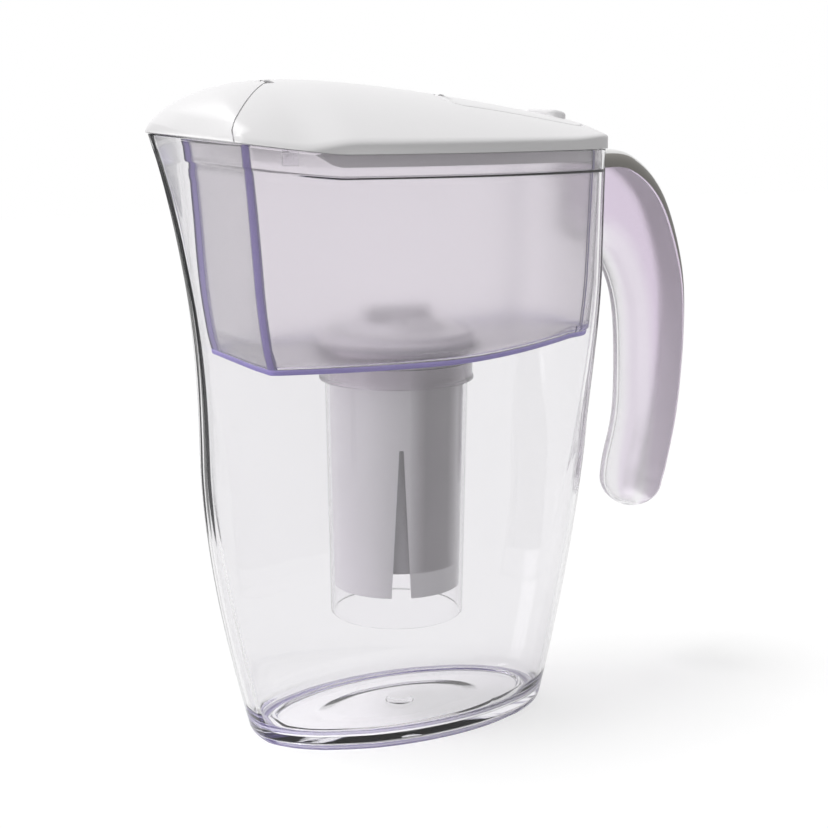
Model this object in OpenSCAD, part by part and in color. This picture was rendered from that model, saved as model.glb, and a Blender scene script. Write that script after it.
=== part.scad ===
// Water filter pitcher with a flip lid.
// A clear jug carries a drop-in reservoir, a replaceable cartridge hangs from the reservoir's floor inside
// a clear sleeve, and a domed lid with a fill flap and a spout cover closes the top. The handle is an
// open-ended hook.
// +Z is up, the spout points to -X and the handle to +X. Millimetres.

/* [Jug] */
// Height of the rim along the sides
rim_h = 246; // [236:1:256]
// Length of the foot
foot_len = 138; // [132:1:144]
// Width of the foot
foot_wid = 78; // [74:1:82]
// Height at which the body reaches its full length
belly_h = 120; // [115:1:125]
// Length of the body at that height
belly_len = 178; // [176:0.5:180]
// Width of the body at that height
belly_wid = 95; // [92:1:97]
// Width of the body at the rim
rim_wid = 99; // [97:1:102]
// Rear face, measured from the foot's centre
stern_x = 90; // [88:0.5:93]
// Width between the two rear creases
stern_wid = 66; // [62:1:70]
// How far the rear face stands out behind the creases
stern_bulge = 13; // [11:0.5:15]
// Spout tip, measured from the foot's centre
spout_x = 108.5; // [106:0.5:112]
// How far the spout tip rises above the rim
spout_rise = 8; // [6:0.5:10]
// Distance from the spout tip back to the shoulders
spout_len = 25; // [23:0.5:27]
// Width between the shoulders
shoulder_wid = 72; // [69:1:74]
// Wall thickness
jug_wall = 2.6; // [2.2:0.1:3]
// Wall thickness above the seat ledge
rim_wall = 1.4; // [1.2:0.1:1.6]
// Depth of the seat ledge below the rim
ledge_depth = 9; // [8:0.5:11]
// Floor thickness
jug_floor = 3; // [2.5:0.1:3.5]
// Height of the hollow under the floor
foot_hollow = 2; // [1.5:0.1:2.5]
// Width of the foot ring
foot_ring = 5; // [4:0.5:6]
// Radius of the round nub in the middle of the floor
nub_r = 5.5; // [4:0.5:7]

/* [Reservoir] */
// How far the cartridge's axis lies towards the spout
cart_off = 1.4; // [0:0.2:2.4]
// Depth from the rim to the underside of the floor
res_depth = 84.5; // [81:0.5:87]
// Wall thickness
res_wall = 2; // [1.8:0.1:2.4]
// Gap to the jug wall at the ledge
res_gap = 0.6; // [0.5:0.1:0.8]
// Extra gap to the jug wall at the floor
res_draft = 2; // [1.5:0.5:3]
// How far the floor rises at the rear
res_rise = 5; // [4:0.5:7]
// Radius of the bore that the sleeve is set in
bore_r = 30.4; // [30:0.1:31]
// Wall of the neck below the floor
neck_wall = 1.9; // [1.6:0.1:2.2]
// Length of the neck below the floor
neck_len = 11; // [10:0.5:13]
// Height of the cartridge seat above the floor's underside
seat_up = 4; // [3.6:0.1:4.6]

/* [Sleeve and cartridge] */
// Length of the sleeve below the neck
sleeve_len = 103; // [98:1:108]
// Outer radius of the sleeve at its lower end
sleeve_r = 28.6; // [28.4:0.1:29]
// Wall of the sleeve
sleeve_wall = 1.3; // [1.1:0.1:1.5]
// How far the cartridge ends above the sleeve's lower end
cart_up = 13; // [10:1:16]
// Wall of the cartridge shell
cart_wall = 1.2; // [1:0.1:1.4]
// Radius of the cartridge flange
flange_r = 33.4; // [32.8:0.1:34]
// Thickness of the cartridge flange
flange_t = 2; // [1.6:0.1:2.4]
// Thickness of the gasket under the flange
gasket_t = 1.2; // [1:0.1:1.6]
// Height of each tapered slot in the cartridge shell
slot_h = 64; // [58:1:68]
// Width of each slot at its foot
slot_w = 8.5; // [7:0.5:10]
// Distance from the shell's lower edge up to the inner cup
cup_up = 10; // [8:1:13]
// Depth of the resin bed
resin_h = 46; // [40:1:50]
// Height of the cap's dome above the flange
cap_h = 6; // [5:0.5:7]
// Height of the grip above the dome
grip_h = 5; // [4:0.5:6]

/* [Lid] */
// Height of the lid's peak above the rim
lid_rise = 28.5; // [27:0.5:31]
// Peak of the lid, measured from the foot's centre towards the spout
lid_peak = 47; // [42:1:52]
// How far the ridge falls from the peak to the rear
lid_fall = 18.3; // [17:0.1:19]
// Height of the upright band along the sides
band_h = 5; // [4.4:0.1:5.4]
// Skin thickness
lid_skin = 1.8; // [1.6:0.1:2.2]
// Depth of the skirt that drops into the reservoir
skirt_h = 4.8; // [4:0.1:6]
// Running gap around the moving covers
cover_gap = 0.5; // [0.4:0.05:0.7]
// Thickness of the moving covers
cover_skin = 1.8; // [1.6:0.1:2]
// Depth of the rebate that the fill flap lies in
rebate_d = 2.2; // [2.1:0.1:2.6]
// Width of the ledge in that rebate
rebate_w = 3; // [2.5:0.5:4]
// Hinge end of the fill flap, measured from the foot's centre
flap_x0 = 12; // [9:1:15]
// Thumb end of the fill flap
flap_x1 = 79; // [76:1:81]
// Width of the fill flap
flap_wid = 46; // [42:1:48]
// Height of the thumb tab
tab_h = 2.4; // [1.8:0.1:3]
// Radius of the hinge pins
pin_r = 1.1; // [1:0.05:1.2]
// Radius of the hinge barrels
barrel_r = 2; // [1.9:0.1:2.2]

/* [Handle] */
// Back of the grip, measured from the foot's centre
grip_x = 145; // [142:1:148]
// Thickness of the grip, front to back
grip_t = 27; // [25:0.5:29]
// Width of the handle
grip_wid = 24; // [22:0.5:26]
// Height of the widest point of the grip
grip_z = 165; // [160:1:170]
// Drop of the grip's end below the widest point
grip_drop = 86; // [82:1:89]
// Height of the root on the rear wall
root_h = 38.5; // [36:0.5:41]
// Wall of the handle channel
handle_wall = 2.2; // [1.8:0.1:2.6]
// Depth of the back cover at the root
cover_root = 8; // [7:0.5:9]
// Depth of the back cover at the grip's end
cover_end = 2; // [1.8:0.1:2.6]

/* [Hidden] */

fit = 0.15;          // gap between fixed pieces that lie face to face
slip = 0.5;          // gap round a piece that lifts out
pin_fit = 0.05;      // running gap round the hinge pins
stern_n = 5;         // steps round half the rear face
side_n = 14;         // steps along one side
bow_n = 5;           // steps along one flank of the spout
ring_n = 2 * (stern_n + side_n + bow_n);
crease_i = stern_n;
shoulder_i = stern_n + side_n;
side_peak = -5;      // where the rim is widest
blend_z0 = 28;       // the section starts to leave the ellipse here
blend_z1 = 0.8 * rim_h;
lift_z0 = 0.78 * rim_h;
lift_x0 = 46;        // the rim starts to rise towards the spout here

function mix(a, b, t) = a + (b - a) * t;
function clamp(t) = max(0, min(1, t));
function ease(t) = let (u = clamp(t)) u * u * (3 - 2 * u);
function unit(v) = v / norm(v);

// ---- the jug's section at height z: an ellipse at the foot that turns into a boat at the rim ----
function swell(z) = 1 - pow(1 - clamp(z / belly_h), 1.6);
function above(z) = max(0, z - belly_h) / (rim_h - belly_h);
function half_len(z) = mix(foot_len, belly_len, swell(z)) / 2;
function half_wid(z) = mix(foot_wid, belly_wid, swell(z)) / 2 + (rim_wid - belly_wid) / 2 * above(z);
function keel(z) = half_len(z) + (spout_x - belly_len / 2) * pow(above(z), 2.45);
function stern(z) = half_len(z) + (stern_x - belly_len / 2) * above(z);
function boatness(z) = ease((z - blend_z0) / (blend_z1 - blend_z0));
function shoulder_x(z) = spout_x - spout_len - 0.25 * (spout_x - keel(z));

function stern_y(u) = stern_wid / 2 * u;
function stern_xx(z, u) = stern(z) - stern_bulge + stern_bulge * pow(1 - pow(u, 4), 2 / 3);
function side_y(z, x) =
    let (crease = stern(z) - stern_bulge,
         end = x > side_peak ? stern_wid / 2 : shoulder_wid / 2,
         t = x > side_peak ? (x - side_peak) / (crease - side_peak)
             : (side_peak - x) / (shoulder_x(z) + side_peak))
    half_wid(z) - (half_wid(z) - end) * t * t;

function boat_point(z, i) =
    i <= crease_i ? let (u = 1 - pow(1 - i / stern_n, 1.5)) [stern_xx(z, u), stern_y(u)]
    : i <= shoulder_i ?
        let (x = mix(stern(z) - stern_bulge, -shoulder_x(z), (i - crease_i) / side_n)) [x, side_y(z, x)]
    : let (w = (i - shoulder_i) / bow_n, bulge = 1.2 * sin(180 * w))
        [-mix(shoulder_x(z), keel(z), w) - 0.7 * bulge, shoulder_wid / 2 * (1 - w) + 0.7 * bulge];

crease_a = 60;       // where the creases fade out on the ellipse, from the rear
shoulder_a = 125;
function ellipse_point(z, i) =
    let (a = i <= crease_i ? crease_a * (1 - pow(1 - i / stern_n, 1.5))
           : i <= shoulder_i ? mix(crease_a, shoulder_a, (i - crease_i) / side_n)
           : mix(shoulder_a, 180, (i - shoulder_i) / bow_n))
    [half_len(z) * cos(a), half_wid(z) * sin(a)];

function half_ring(z) = [for (i = [0:ring_n / 2]) mix(ellipse_point(z, i), boat_point(z, i), boatness(z))];
function mirrored(half) = concat(half, [for (i = [len(half) - 2:-1:1]) [half[i].x, -half[i].y]]);
function jug_ring(z) = mirrored(half_ring(z));

// Moves a closed outline inwards by d, corner by corner.
function inset(ring, d) =
    let (n = len(ring))
    [for (i = [0:n - 1])
        let (p = ring[i], e0 = unit(p - ring[(i + n - 1) % n]), e1 = unit(ring[(i + 1) % n] - p),
             n0 = [e0.y, -e0.x], n1 = [e1.y, -e1.x], m = unit(n0 + n1))
        p - m * d / max(0.4, m * n0)];

// The rim and everything near it rise towards the spout.
function lift(x, z) =
    spout_rise * pow(clamp((-x - lift_x0) / (spout_x - lift_x0)), 1.2)
    * ease((z - lift_z0) / (rim_h - lift_z0));
function at(ring, z) = [for (p = ring) [p.x, p.y, z + lift(p.x, z)]];
function scaled(ring, s) = [for (p = ring) p * s];

// ---- skins: a list of rings with the same number of points, joined by triangles ----
function tube_faces(rings, n) =
    [for (r = [0:rings - 2], i = [0:n - 1])
        let (a = r * n + i, b = r * n + (i + 1) % n, c = (r + 1) * n + (i + 1) % n, d = (r + 1) * n + i)
        each [[a, c, b], [a, d, c]]];
function fan(first, n, up) =
    [for (i = [1:n - 2]) up ? [first, first + i + 1, first + i] : [first, first + i, first + i + 1]];
module skin(rings) {
    n = len(rings[0]);
    points = [for (r = rings) each r];
    polyhedron(
        points,
        concat(tube_faces(len(rings), n), fan(0, n, false), fan((len(rings) - 1) * n, n, true)),
        convexity = 10);
}
module tube(z0, z1, r, hole, sides = 72) {
    translate([0, 0, z0])
        difference() {
            cylinder(h = z1 - z0, r = r, $fn = sides);
            translate([0, 0, -1]) cylinder(h = z1 - z0 + 2, r = hole, $fn = sides);
        }
}
module on_axis() {
    translate([-cart_off, 0, 0]) children();
}
module disc(z0, z1, r, sides = 72) {
    translate([0, 0, z0]) cylinder(h = z1 - z0, r = r, $fn = sides);
}

// ---- jug ----
ledge_z = rim_h - ledge_depth;
outer_steps = [1.2, 6, 14, 24, 36, 50, 66, 84, 102, 120, 138, 156, 174, 192, 208, 222, 235];
floor_z = foot_hollow + jug_floor;
bead_in = 9;         // the oval bead on the floor, measured from the wall's outer face
bead_h = 0.8;

module jug() color([0.93, 0.93, 0.95, 0.35])
    union() {
        skin(concat(
            [at(scaled(inset(jug_ring(0), foot_ring + 3), 0.55), foot_hollow + 0.6),
             at(scaled(inset(jug_ring(0), foot_ring + 3), 0.62), foot_hollow),
             at(inset(jug_ring(0), foot_ring + 1.5), foot_hollow),
             at(inset(jug_ring(0), foot_ring), 0),
             at(inset(jug_ring(0), 0.9), 0)],
            [for (z = outer_steps) at(jug_ring(z), z)],
            [at(jug_ring(rim_h), rim_h - 0.5),
             at(inset(jug_ring(rim_h), 0.4), rim_h),
             at(inset(jug_ring(rim_h), rim_wall), rim_h),
             at(inset(jug_ring(ledge_z), rim_wall), ledge_z + 0.4),
             at(inset(jug_ring(ledge_z), jug_wall), ledge_z - 0.4)],
            [for (i = [len(outer_steps) - 2:-1:2])
                at(inset(jug_ring(outer_steps[i]), jug_wall), outer_steps[i])],
            [at(inset(jug_ring(floor_z), jug_wall + 1), floor_z + 3),
             at(inset(jug_ring(floor_z), jug_wall + 4), floor_z),
             at(inset(jug_ring(floor_z), bead_in), floor_z),
             at(inset(jug_ring(floor_z), bead_in + 0.8), floor_z + bead_h),
             at(inset(jug_ring(floor_z), bead_in + 2.2), floor_z + bead_h),
             at(inset(jug_ring(floor_z), bead_in + 3), floor_z)]));
        translate([0, 0, floor_z - 1]) cylinder(h = 2.2, r1 = nub_r + 0.6, r2 = nub_r - 0.6, $fn = 48);
    }

// ---- handle: a hook given by pairs of points, one on its back and one on its inner face ----
root_z = rim_h - 0.8;
hook_k = grip_t / 27;   // the hook's own small steps grow with its thickness
end_r = 13 * hook_k;
grip_end = grip_z - grip_drop + end_r;
function hook_pairs() = let (k = hook_k) [
    [stern(root_z) + fit - 8 * k, root_z + 0.3 * k,
        stern(root_z - root_h) + fit - 8 * k, root_z - root_h + 4 * k],
    [stern(root_z) + fit, root_z, stern(root_z - root_h) + fit, root_z - root_h],
    [mix(stern_x, grip_x, 0.4), root_z - 2 * k, mix(stern_x, grip_x, 0.2), root_z - root_h - 5.5 * k],
    [mix(stern_x, grip_x, 0.74), mix(grip_z, root_z, 0.76),
        mix(stern_x, grip_x, 0.32), root_z - root_h - 14 * k],
    [grip_x - 2.3 * k, mix(grip_z, root_z, 0.35), grip_x - grip_t - 4.4 * k, grip_z + 13 * k],
    [grip_x, grip_z - 3 * k, grip_x - grip_t - 1.6 * k, grip_z - 7 * k],
    [grip_x - 2.4 * k, grip_z - 0.45 * grip_drop, grip_x - grip_t - 1.2 * k, grip_z - 0.47 * grip_drop],
    [grip_x - 7.5 * k, grip_end + 8 * k, grip_x - grip_t - 6 * k, grip_end + 9.5 * k],
    [grip_x - 10.2 * k, grip_end - k, grip_x - grip_t - 7 * k, grip_end + k],
    [grip_x - 12.8 * k, grip_end - 10 * k, grip_x - grip_t - 8 * k, grip_end - 7.5 * k]
];
hook_last = 7;       // stations run over this many spans
function spline(list, u) =
    let (i = min(floor(u), hook_last - 1), t = u - i,
         a = list[i], b = list[i + 1], c = list[i + 2], d = list[i + 3])
    0.5 * (2 * b + (c - a) * t + (2 * a - 5 * b + 4 * c - d) * t * t + (3 * b - a - 3 * c + d) * t * t * t);
function back(u) = let (p = spline(hook_pairs(), u)) [p[0], p[1]];
function face(u) = let (p = spline(hook_pairs(), u)) [p[2], p[3]];
function thick(u) = norm(back(u) - face(u));
// A section of the hook: a rounded rectangle between the depths t0 and t1, where -1 is the face and 1 the
// back.
// "run" moves it along the hook and "size" shrinks it, for the round end.
sec_n = 9;
function width_at(t, half) = half * pow(max(0, 1 - pow(abs(t), 5)), 0.22);
function section(u, t0, t1, half, dig = 0, run = 0, size = 1, full = 2) =
    let (b = back(u), f = face(u), mid = (b + f) / 2, dir = unit(b - f), along = [dir.y, -dir.x],
         reach = (thick(u) / 2 - dig) * size, c = mid + along * run,
         ts = [for (k = [0:sec_n])
             let (w = k / sec_n) mix(t0, t1, t0 < -0.99 ? 1 - cos(90 * w) : sin(90 * w))],
         side = [for (t = ts)
             [c.x + dir.x * reach * t, width_at(t > full ? 0 : t, half - dig) * size, c.y + dir.y * reach * t]])
    concat(side, [for (k = [sec_n:-1:0]) if (side[k].y > 0.001) [side[k].x, -side[k].y, side[k].z]]);
hook_n = 26;
hook_us = [for (k = [0:hook_n]) k * hook_last / hook_n];
// Depth at which the channel ends and the back cover starts.
function cover_depth(u) = mix(cover_root, cover_end, ease(u / 4.4));
function split(u, gap) = 1 - 2 * (cover_depth(u) - gap) / thick(u);

// The mouth of the channel is narrower than its body, so its side walls are thicker in the middle.
cavity_half = grip_wid / 2 - 1.6;
// One section of the channel: round the outside, then back along the cavity. Where "open" is 0 the
// cavity is shut.
function channel(u, run, size, open) =
    let (n = sec_n, mouth = split(u, -fit), deep = thick(u) / 2,
         deepest = mouth * deep / (deep - handle_wall),
         out = section(u, -1, mouth, grip_wid / 2, 0, run, size), lip = out[n],
         hole = section(u, -1, deepest, cavity_half, handle_wall, run * (1 - handle_wall / end_r), size, 0),
         inner = [for (k = [n:-1:0]) open > 0 ? hole[k] : [lip.x, lip.y * (k + 1) / (n + 2), lip.z]],
         half = concat([for (k = [0:n]) out[k]], inner))
    concat(half, [for (k = [2 * n:-1:1]) [half[k].x, -half[k].y, half[k].z]]);
module handle_channel() color([0.88, 0.86, 0.90, 0.7])
    skin(concat(
        [channel(0, 0, 1, 0), channel(hook_us[1] * 0.8, 0, 1, 0)],
        [for (k = [1:hook_n]) channel(hook_us[k], 0, 1, 1)],
        [for (a = [18, 36, 54]) channel(hook_last, end_r * sin(a), cos(a), 1)],
        [for (a = [63, 75]) channel(hook_last, end_r * sin(a), cos(a), 0)]));

module handle_cover() color([0.96, 0.96, 0.96])
    skin(concat(
        [for (u = hook_us) section(u, split(u, 0), 1, grip_wid / 2)],
        [for (a = [18, 36])
            section(hook_last, split(hook_last, 0), 1, grip_wid / 2, 0, end_r * sin(a), cos(a))]));

// ---- reservoir: follows the jug's section, with a flat front panel between the shoulders ----
res_z = rim_h - res_depth;
res_rim = rim_h - 0.4;
rim_res_wall = res_wall - 0.6;
panel_n = 3;
function res_gap_at(z) = res_gap + (z < ledge_z ? res_draft * (ledge_z - z) / (ledge_z - res_z) : 0);
// d is the distance from the jug's outer face
function res_half(z, d) =
    let (jug = inset(jug_ring(z), d), front = jug[shoulder_i])
    concat([for (i = [0:shoulder_i]) jug[i]], [for (k = [1:panel_n]) [front.x, front.y * (1 - k / panel_n)]]);
function res_ring(z, extra = 0, body = jug_wall) = mirrored(res_half(z, body + res_gap_at(z) + extra));
function floor_lift(x) = res_rise * pow(clamp(x / 66), 1.6);
function on_floor(ring, dz) = [for (p = ring) [p.x, p.y, res_z + floor_lift(p.x) + dz]];
res_steps = [0.12, 0.35, 0.6, 0.85];   // heights of the wall's rings, as shares of the way up to the ledge
function res_step(t) = mix(res_z + res_rise, ledge_z - 1.5, t);
seat_z = res_z + seat_up;
neck_z = res_z - neck_len;
boss_r = flange_r + 1.6;
cart_top_r = bore_r - fit - sleeve_wall - slip;
lip_r = cart_top_r + slip;           // bore of the neck above the sleeve
lip_h = 3;

module reservoir() color([0.80, 0.74, 0.88, 0.6])
    difference() {
        union() {
            skin(concat(
                [on_floor(scaled(res_ring(res_z, 1), 0.25), 0),
                 on_floor(scaled(res_ring(res_z, 1), 0.6), 0),
                 on_floor(res_ring(res_z, 1), 0),
                 on_floor(res_ring(res_z, 0), 1)],
                [for (t = res_steps) at(res_ring(res_step(t)), res_step(t))],
                [at(res_ring(ledge_z - 1.2), ledge_z - 1.2),
                 at(res_ring(ledge_z + 0.2, 0, jug_wall), ledge_z + 0.3),
                 at(res_ring(ledge_z + 0.2, 0, rim_wall), ledge_z + 0.8),
                 at(res_ring(rim_h, 0, rim_wall), res_rim),
                 at(res_ring(rim_h, rim_res_wall, rim_wall), res_rim),
                 at(res_ring(ledge_z, rim_res_wall, rim_wall), ledge_z + 1)],
                [for (i = [len(res_steps) - 1:-1:0])
                    at(res_ring(res_step(res_steps[i]), res_wall), res_step(res_steps[i]))],
                [on_floor(res_ring(res_z, res_wall), res_wall + 1.5),
                 on_floor(res_ring(res_z, res_wall + 2), res_wall),
                 on_floor(scaled(res_ring(res_z, res_wall + 2), 0.6), res_wall),
                 on_floor(scaled(res_ring(res_z, res_wall + 2), 0.25), res_wall)]));
            on_axis() {
                disc(res_z + 0.5, seat_z, boss_r);
                disc(neck_z, res_z + 1, bore_r + neck_wall);
                disc(neck_z, neck_z + 1.6, bore_r + neck_wall + 0.5);
            }
        }
        on_axis() {
            disc(neck_z - 1, seat_z + 10, lip_r);
            disc(neck_z - 1, res_z - lip_h, bore_r);
            disc(seat_z, seat_z + res_rise + 6, boss_r - 1);
        }
    }

// The lid's front corners are held down by two small catches on the reservoir's side walls.
catch_x = 66;        // middle of the catch, towards the spout
catch_l = 6;
catch_t = 3.2;
catch_h = 5;
catch_sag = 0.1;     // how far the wall's flats lie inside its curve
module catch_block(side) {
    top = rim_h + lift(catch_l / 2 - catch_x, rim_h) - 0.6;
    slope = atan((side_y(rim_h, 3 - catch_x) - side_y(rim_h, -3 - catch_x)) / 6);
    off = rim_wall + res_gap + rim_res_wall + 2 * fit + catch_sag;
    color([0.93, 0.93, 0.95, 0.5])
        mirror([0, side < 0 ? 1 : 0, 0])
            translate([
                -catch_x + off * sin(slope),
                side_y(rim_h, -catch_x) - off * cos(slope),
                top - catch_h / 2
            ])
                rotate([0, 0, slope]) {
                    translate([-catch_l / 2, -catch_t, -catch_h / 2]) cube([catch_l, catch_t, catch_h]);
                    translate([0, 0.5 - catch_t, 0]) rotate([90, 0, 0]) cylinder(h = 1.7, r = 1.4, $fn = 24);
                }
}

// ---- sleeve and cartridge ----
sleeve_z = neck_z - sleeve_len;
sleeve_top = res_z - lip_h - fit;
sleeve_top_r = bore_r - fit;
module sleeve() color([0.93, 0.93, 0.95, 0.4])
    rotate_extrude($fn = 72)
        polygon([
            [sleeve_r - 0.5, sleeve_z], [sleeve_r, sleeve_z + 0.5],
            [sleeve_top_r, neck_z - 4], [sleeve_top_r, sleeve_top],
            [sleeve_top_r - sleeve_wall, sleeve_top], [sleeve_top_r - sleeve_wall, neck_z - 4],
            [sleeve_r - sleeve_wall, sleeve_z + 0.5], [sleeve_r - sleeve_wall, sleeve_z]
        ]);

cart_z = sleeve_z + cart_up;
flange_z = seat_z + gasket_t;
deck_z = flange_z + flange_t;
function sleeve_bore(z) =
    mix(sleeve_r, sleeve_top_r, clamp((z - sleeve_z) / (neck_z - 4 - sleeve_z))) - sleeve_wall;
cart_low_r = sleeve_bore(cart_z) - slip;
module gasket() color([0.85, 0.85, 0.87]) tube(seat_z, flange_z, flange_r - 0.8, cart_top_r + 0.3);

slot_count = 4;
slot_turn = -23;     // turns the slots off the pitcher's centre plane
module cartridge_shell() color([0.95, 0.95, 0.96, 0.8])
    difference() {
        union() {
            rotate_extrude($fn = 72)
                polygon([
                    [cart_low_r - cart_wall, cart_z], [cart_low_r, cart_z],
                    [cart_top_r, neck_z - 4], [cart_top_r, deck_z],
                    [cart_top_r - cart_wall, deck_z], [cart_top_r - cart_wall, neck_z - 4]
                ]);
            tube(flange_z, deck_z, flange_r, cart_top_r - cart_wall);
        }
        for (k = [0:slot_count - 1])
            rotate([0, 0, slot_turn + 360 / slot_count * k])
                translate([cart_low_r - 6, 0, cart_z])
                    rotate([90, 0, 90])
                        linear_extrude(12)
                            polygon([
                                [-slot_w / 2, -1], [slot_w / 2, -1], [slot_w / 2 - 1, 12],
                                [0.9, slot_h], [-0.9, slot_h], [1 - slot_w / 2, 12]
                            ]);
    }

cup_z = cart_z + cup_up;
cup_r = cart_low_r - cart_wall - 0.5;
cup_wall = 1;
cup_floor = 1.4;
cup_in = cup_r - cup_wall;
lip_z = deck_z + 1.2;
module drain_holes(z, count, ring_r, r) {
    for (k = [0:count - 1])
        rotate([0, 0, 360 / count * k])
            translate([ring_r, 0, z]) cylinder(h = 6, r = r, center = true, $fn = 16);
}
module cartridge_cup() color([0.96, 0.96, 0.97, 0.9])
    difference() {
        union() {
            disc(cup_z, lip_z, cup_r);
            tube(deck_z, lip_z, cart_top_r + 1.5, cup_r - 0.5);
        }
        disc(cup_z + cup_floor, lip_z + 1, cup_in);
        drain_holes(cup_z + cup_floor / 2, 6, 6, 1.6);
        drain_holes(cup_z + cup_floor / 2, 12, 13, 1.6);
        drain_holes(cup_z + cup_floor / 2, 18, 20, 1.6);
    }

screen_t = 0.8;
bed_r = cup_in - 0.3;
outlet_z = cup_z + cup_floor;
resin_z = outlet_z + screen_t;
pad_z = resin_z + resin_h;
pad_t = 2;
carbon_z = pad_z + pad_t;
inlet_z = lip_z - 2.4;
module outlet_screen() color([0.9, 0.9, 0.9]) disc(outlet_z, resin_z, bed_r, 48);
module resin_bed() color([0.85, 0.66, 0.35]) disc(resin_z, pad_z, bed_r, 48);
module felt_pad() color([0.93, 0.93, 0.9]) disc(pad_z, carbon_z, bed_r, 48);
module carbon_bed() color([0.12, 0.12, 0.13]) disc(carbon_z, inlet_z, bed_r, 48);
module inlet_screen() color([0.9, 0.9, 0.9]) disc(inlet_z, inlet_z + screen_t, bed_r, 48);

cap_r = cart_top_r + 3.2;
cap_plate = 1.6;
dome_r = 21;
inlet_count = 12;
module cartridge_cap() color([0.9, 0.9, 0.92])
    difference() {
        union() {
            rotate_extrude($fn = 72)
                polygon([
                    [0, lip_z], [cart_top_r + 1.5 + fit, lip_z],
                    [cart_top_r + 1.5 + fit, deck_z], [cap_r, deck_z],
                    [cap_r, lip_z + cap_plate - 0.5], [cap_r - 0.5, lip_z + cap_plate],
                    [dome_r, lip_z + cap_plate], [dome_r - 3, lip_z + cap_h - 0.8],
                    [dome_r - 5, lip_z + cap_h], [0, lip_z + cap_h]
                ]);
            translate([0, 0, lip_z + cap_h - 0.5])
                linear_extrude(grip_h + 0.5)
                    union() {
                        square([2 * dome_r - 16, 3.4], center = true);
                        for (s = [-1, 1]) translate([s * (dome_r - 8), 0]) circle(r = 3.2, $fn = 24);
                    }
        }
        rotate_extrude($fn = 72)
            polygon([
                [0, lip_z - 1], [dome_r - 1.6, lip_z - 1], [dome_r - 1.6, lip_z + cap_plate - 0.6],
                [dome_r - 5.6, lip_z + cap_h - 1.6], [0, lip_z + cap_h - 1.6]
            ]);
        for (k = [0:inlet_count - 1])
            rotate([0, 0, 360 / inlet_count * (k + 0.5)])
                translate([9, -0.7, lip_z - 1]) cube([8.5, 1.4, cap_h + 4]);
    }

// ---- lid: a domed surface over the rim's outline, from which the moving covers are cut ----
lid_out = 0.8;       // overhang of the lid past the jug's rim
function stern_edge() = rim_h + band_h + 1;
function ridge(x) =
    x < -lid_peak
    ? let (t = clamp((-lid_peak - x) / (spout_x + lid_out - lid_peak)), tip = rim_h + spout_rise)
        tip + (rim_h + lid_rise - tip) * pow(1 - pow(t, 2.6), 0.7)
    : let (t = clamp((x + lid_peak) / (stern_x + lid_out + lid_peak)))
        rim_h + lid_rise - lid_fall * pow(t, 1.5)
        - (lid_rise - lid_fall - band_h - 1) * ease((x - stern_x + 11) / 12);
function edge_z(x) = rim_h + lift(x, rim_h) + 1 + (band_h - 1) * ease((x + 64) / 22) + ease((x - 60) / 25);
function lid_half_w(x) =
    let (x0 = stern_x - stern_bulge, xs = -spout_x + spout_len)
    lid_out + (x > x0 ? stern_wid / 2 * pow(1 - pow(clamp((x - x0) / (stern_bulge + lid_out)), 1.5), 0.25)
        : x > xs ? side_y(rim_h, x)
        : shoulder_wid / 2 * clamp((x + spout_x + lid_out) / (spout_len + lid_out)));
function lid_z(p) =
    let (v = clamp(abs(p.y) / max(0.3, lid_half_w(p.x))), e = edge_z(p.x))
    e + max(0, ridge(p.x) - e) * (1 - pow(v, 1.9));
function lid_line() = inset(jug_ring(rim_h), -lid_out);
dome_steps = [0.99, 0.965, 0.92, 0.84, 0.72, 0.56, 0.4, 0.22, 0.07];
function dome_ring(s, drop) = [for (p = lid_line()) [p.x * s, p.y * s, lid_z(p * s) - drop]];
// Everything under the lid's outer surface lowered by "drop", down to "low" under the rim.
module dome(drop, low, shrink = 0) {
    line = inset(lid_line(), shrink);
    skin(concat(
        [[for (p = line) [p.x, p.y, rim_h + lift(p.x, rim_h) + 2 * fit - low]],
         [for (p = line)
             [p.x, p.y, max(edge_z(p.x) - drop - 0.7, rim_h + lift(p.x, rim_h) + 2 * fit - low + 0.1)]]],
        [for (s = dome_steps) [for (p = line) [p.x * s, p.y * s, lid_z(p * s) - drop]]]));
}
module shell(from, to) {
    difference() {
        dome(from, 0, from);
        dome(to, 3, to);
    }
}
// A closed band: four rings joined into a loop.
module band(rings) {
    n = len(rings[0]);
    m = len(rings);
    points = [for (r = rings) each r];
    loop = [for (i = [0:n - 1])
        let (a = (m - 1) * n + i, b = (m - 1) * n + (i + 1) % n)
        each [[a, (i + 1) % n, b], [a, i, (i + 1) % n]]];
    polyhedron(points, concat(tube_faces(m, n), loop), convexity = 10);
}
module rod(x, z, r, y0, y1, sides = 32) {
    translate([x, y0, z]) rotate([-90, 0, 0]) cylinder(h = y1 - y0, r = r, $fn = sides);
}
module block(x0, x1, y0, y1, z0, z1) {
    translate([x0, y0, z0]) cube([x1 - x0, y1 - y0, z1 - z0]);
}
far = 1.3 * spout_x;  // past the lid on every side
tall = 2 * lid_rise;
module slab(x0, x1) {
    block(x0, x1, -far, far, rim_h - lid_rise, rim_h + tall);
}

// outline of the fill flap, grown by g
flap_r = 7;
flap_half = flap_wid / 2 + cover_gap;
module flap_plan(g) {
    translate([0, 0, rim_h - lid_rise])
        linear_extrude(lid_rise + tall)
            translate([(flap_x0 + flap_x1) / 2, 0])
                offset(r = flap_r + g, $fn = 32)
                    square([flap_x1 - flap_x0 - 2 * flap_r, flap_wid - 2 * flap_r], center = true);
}

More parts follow.
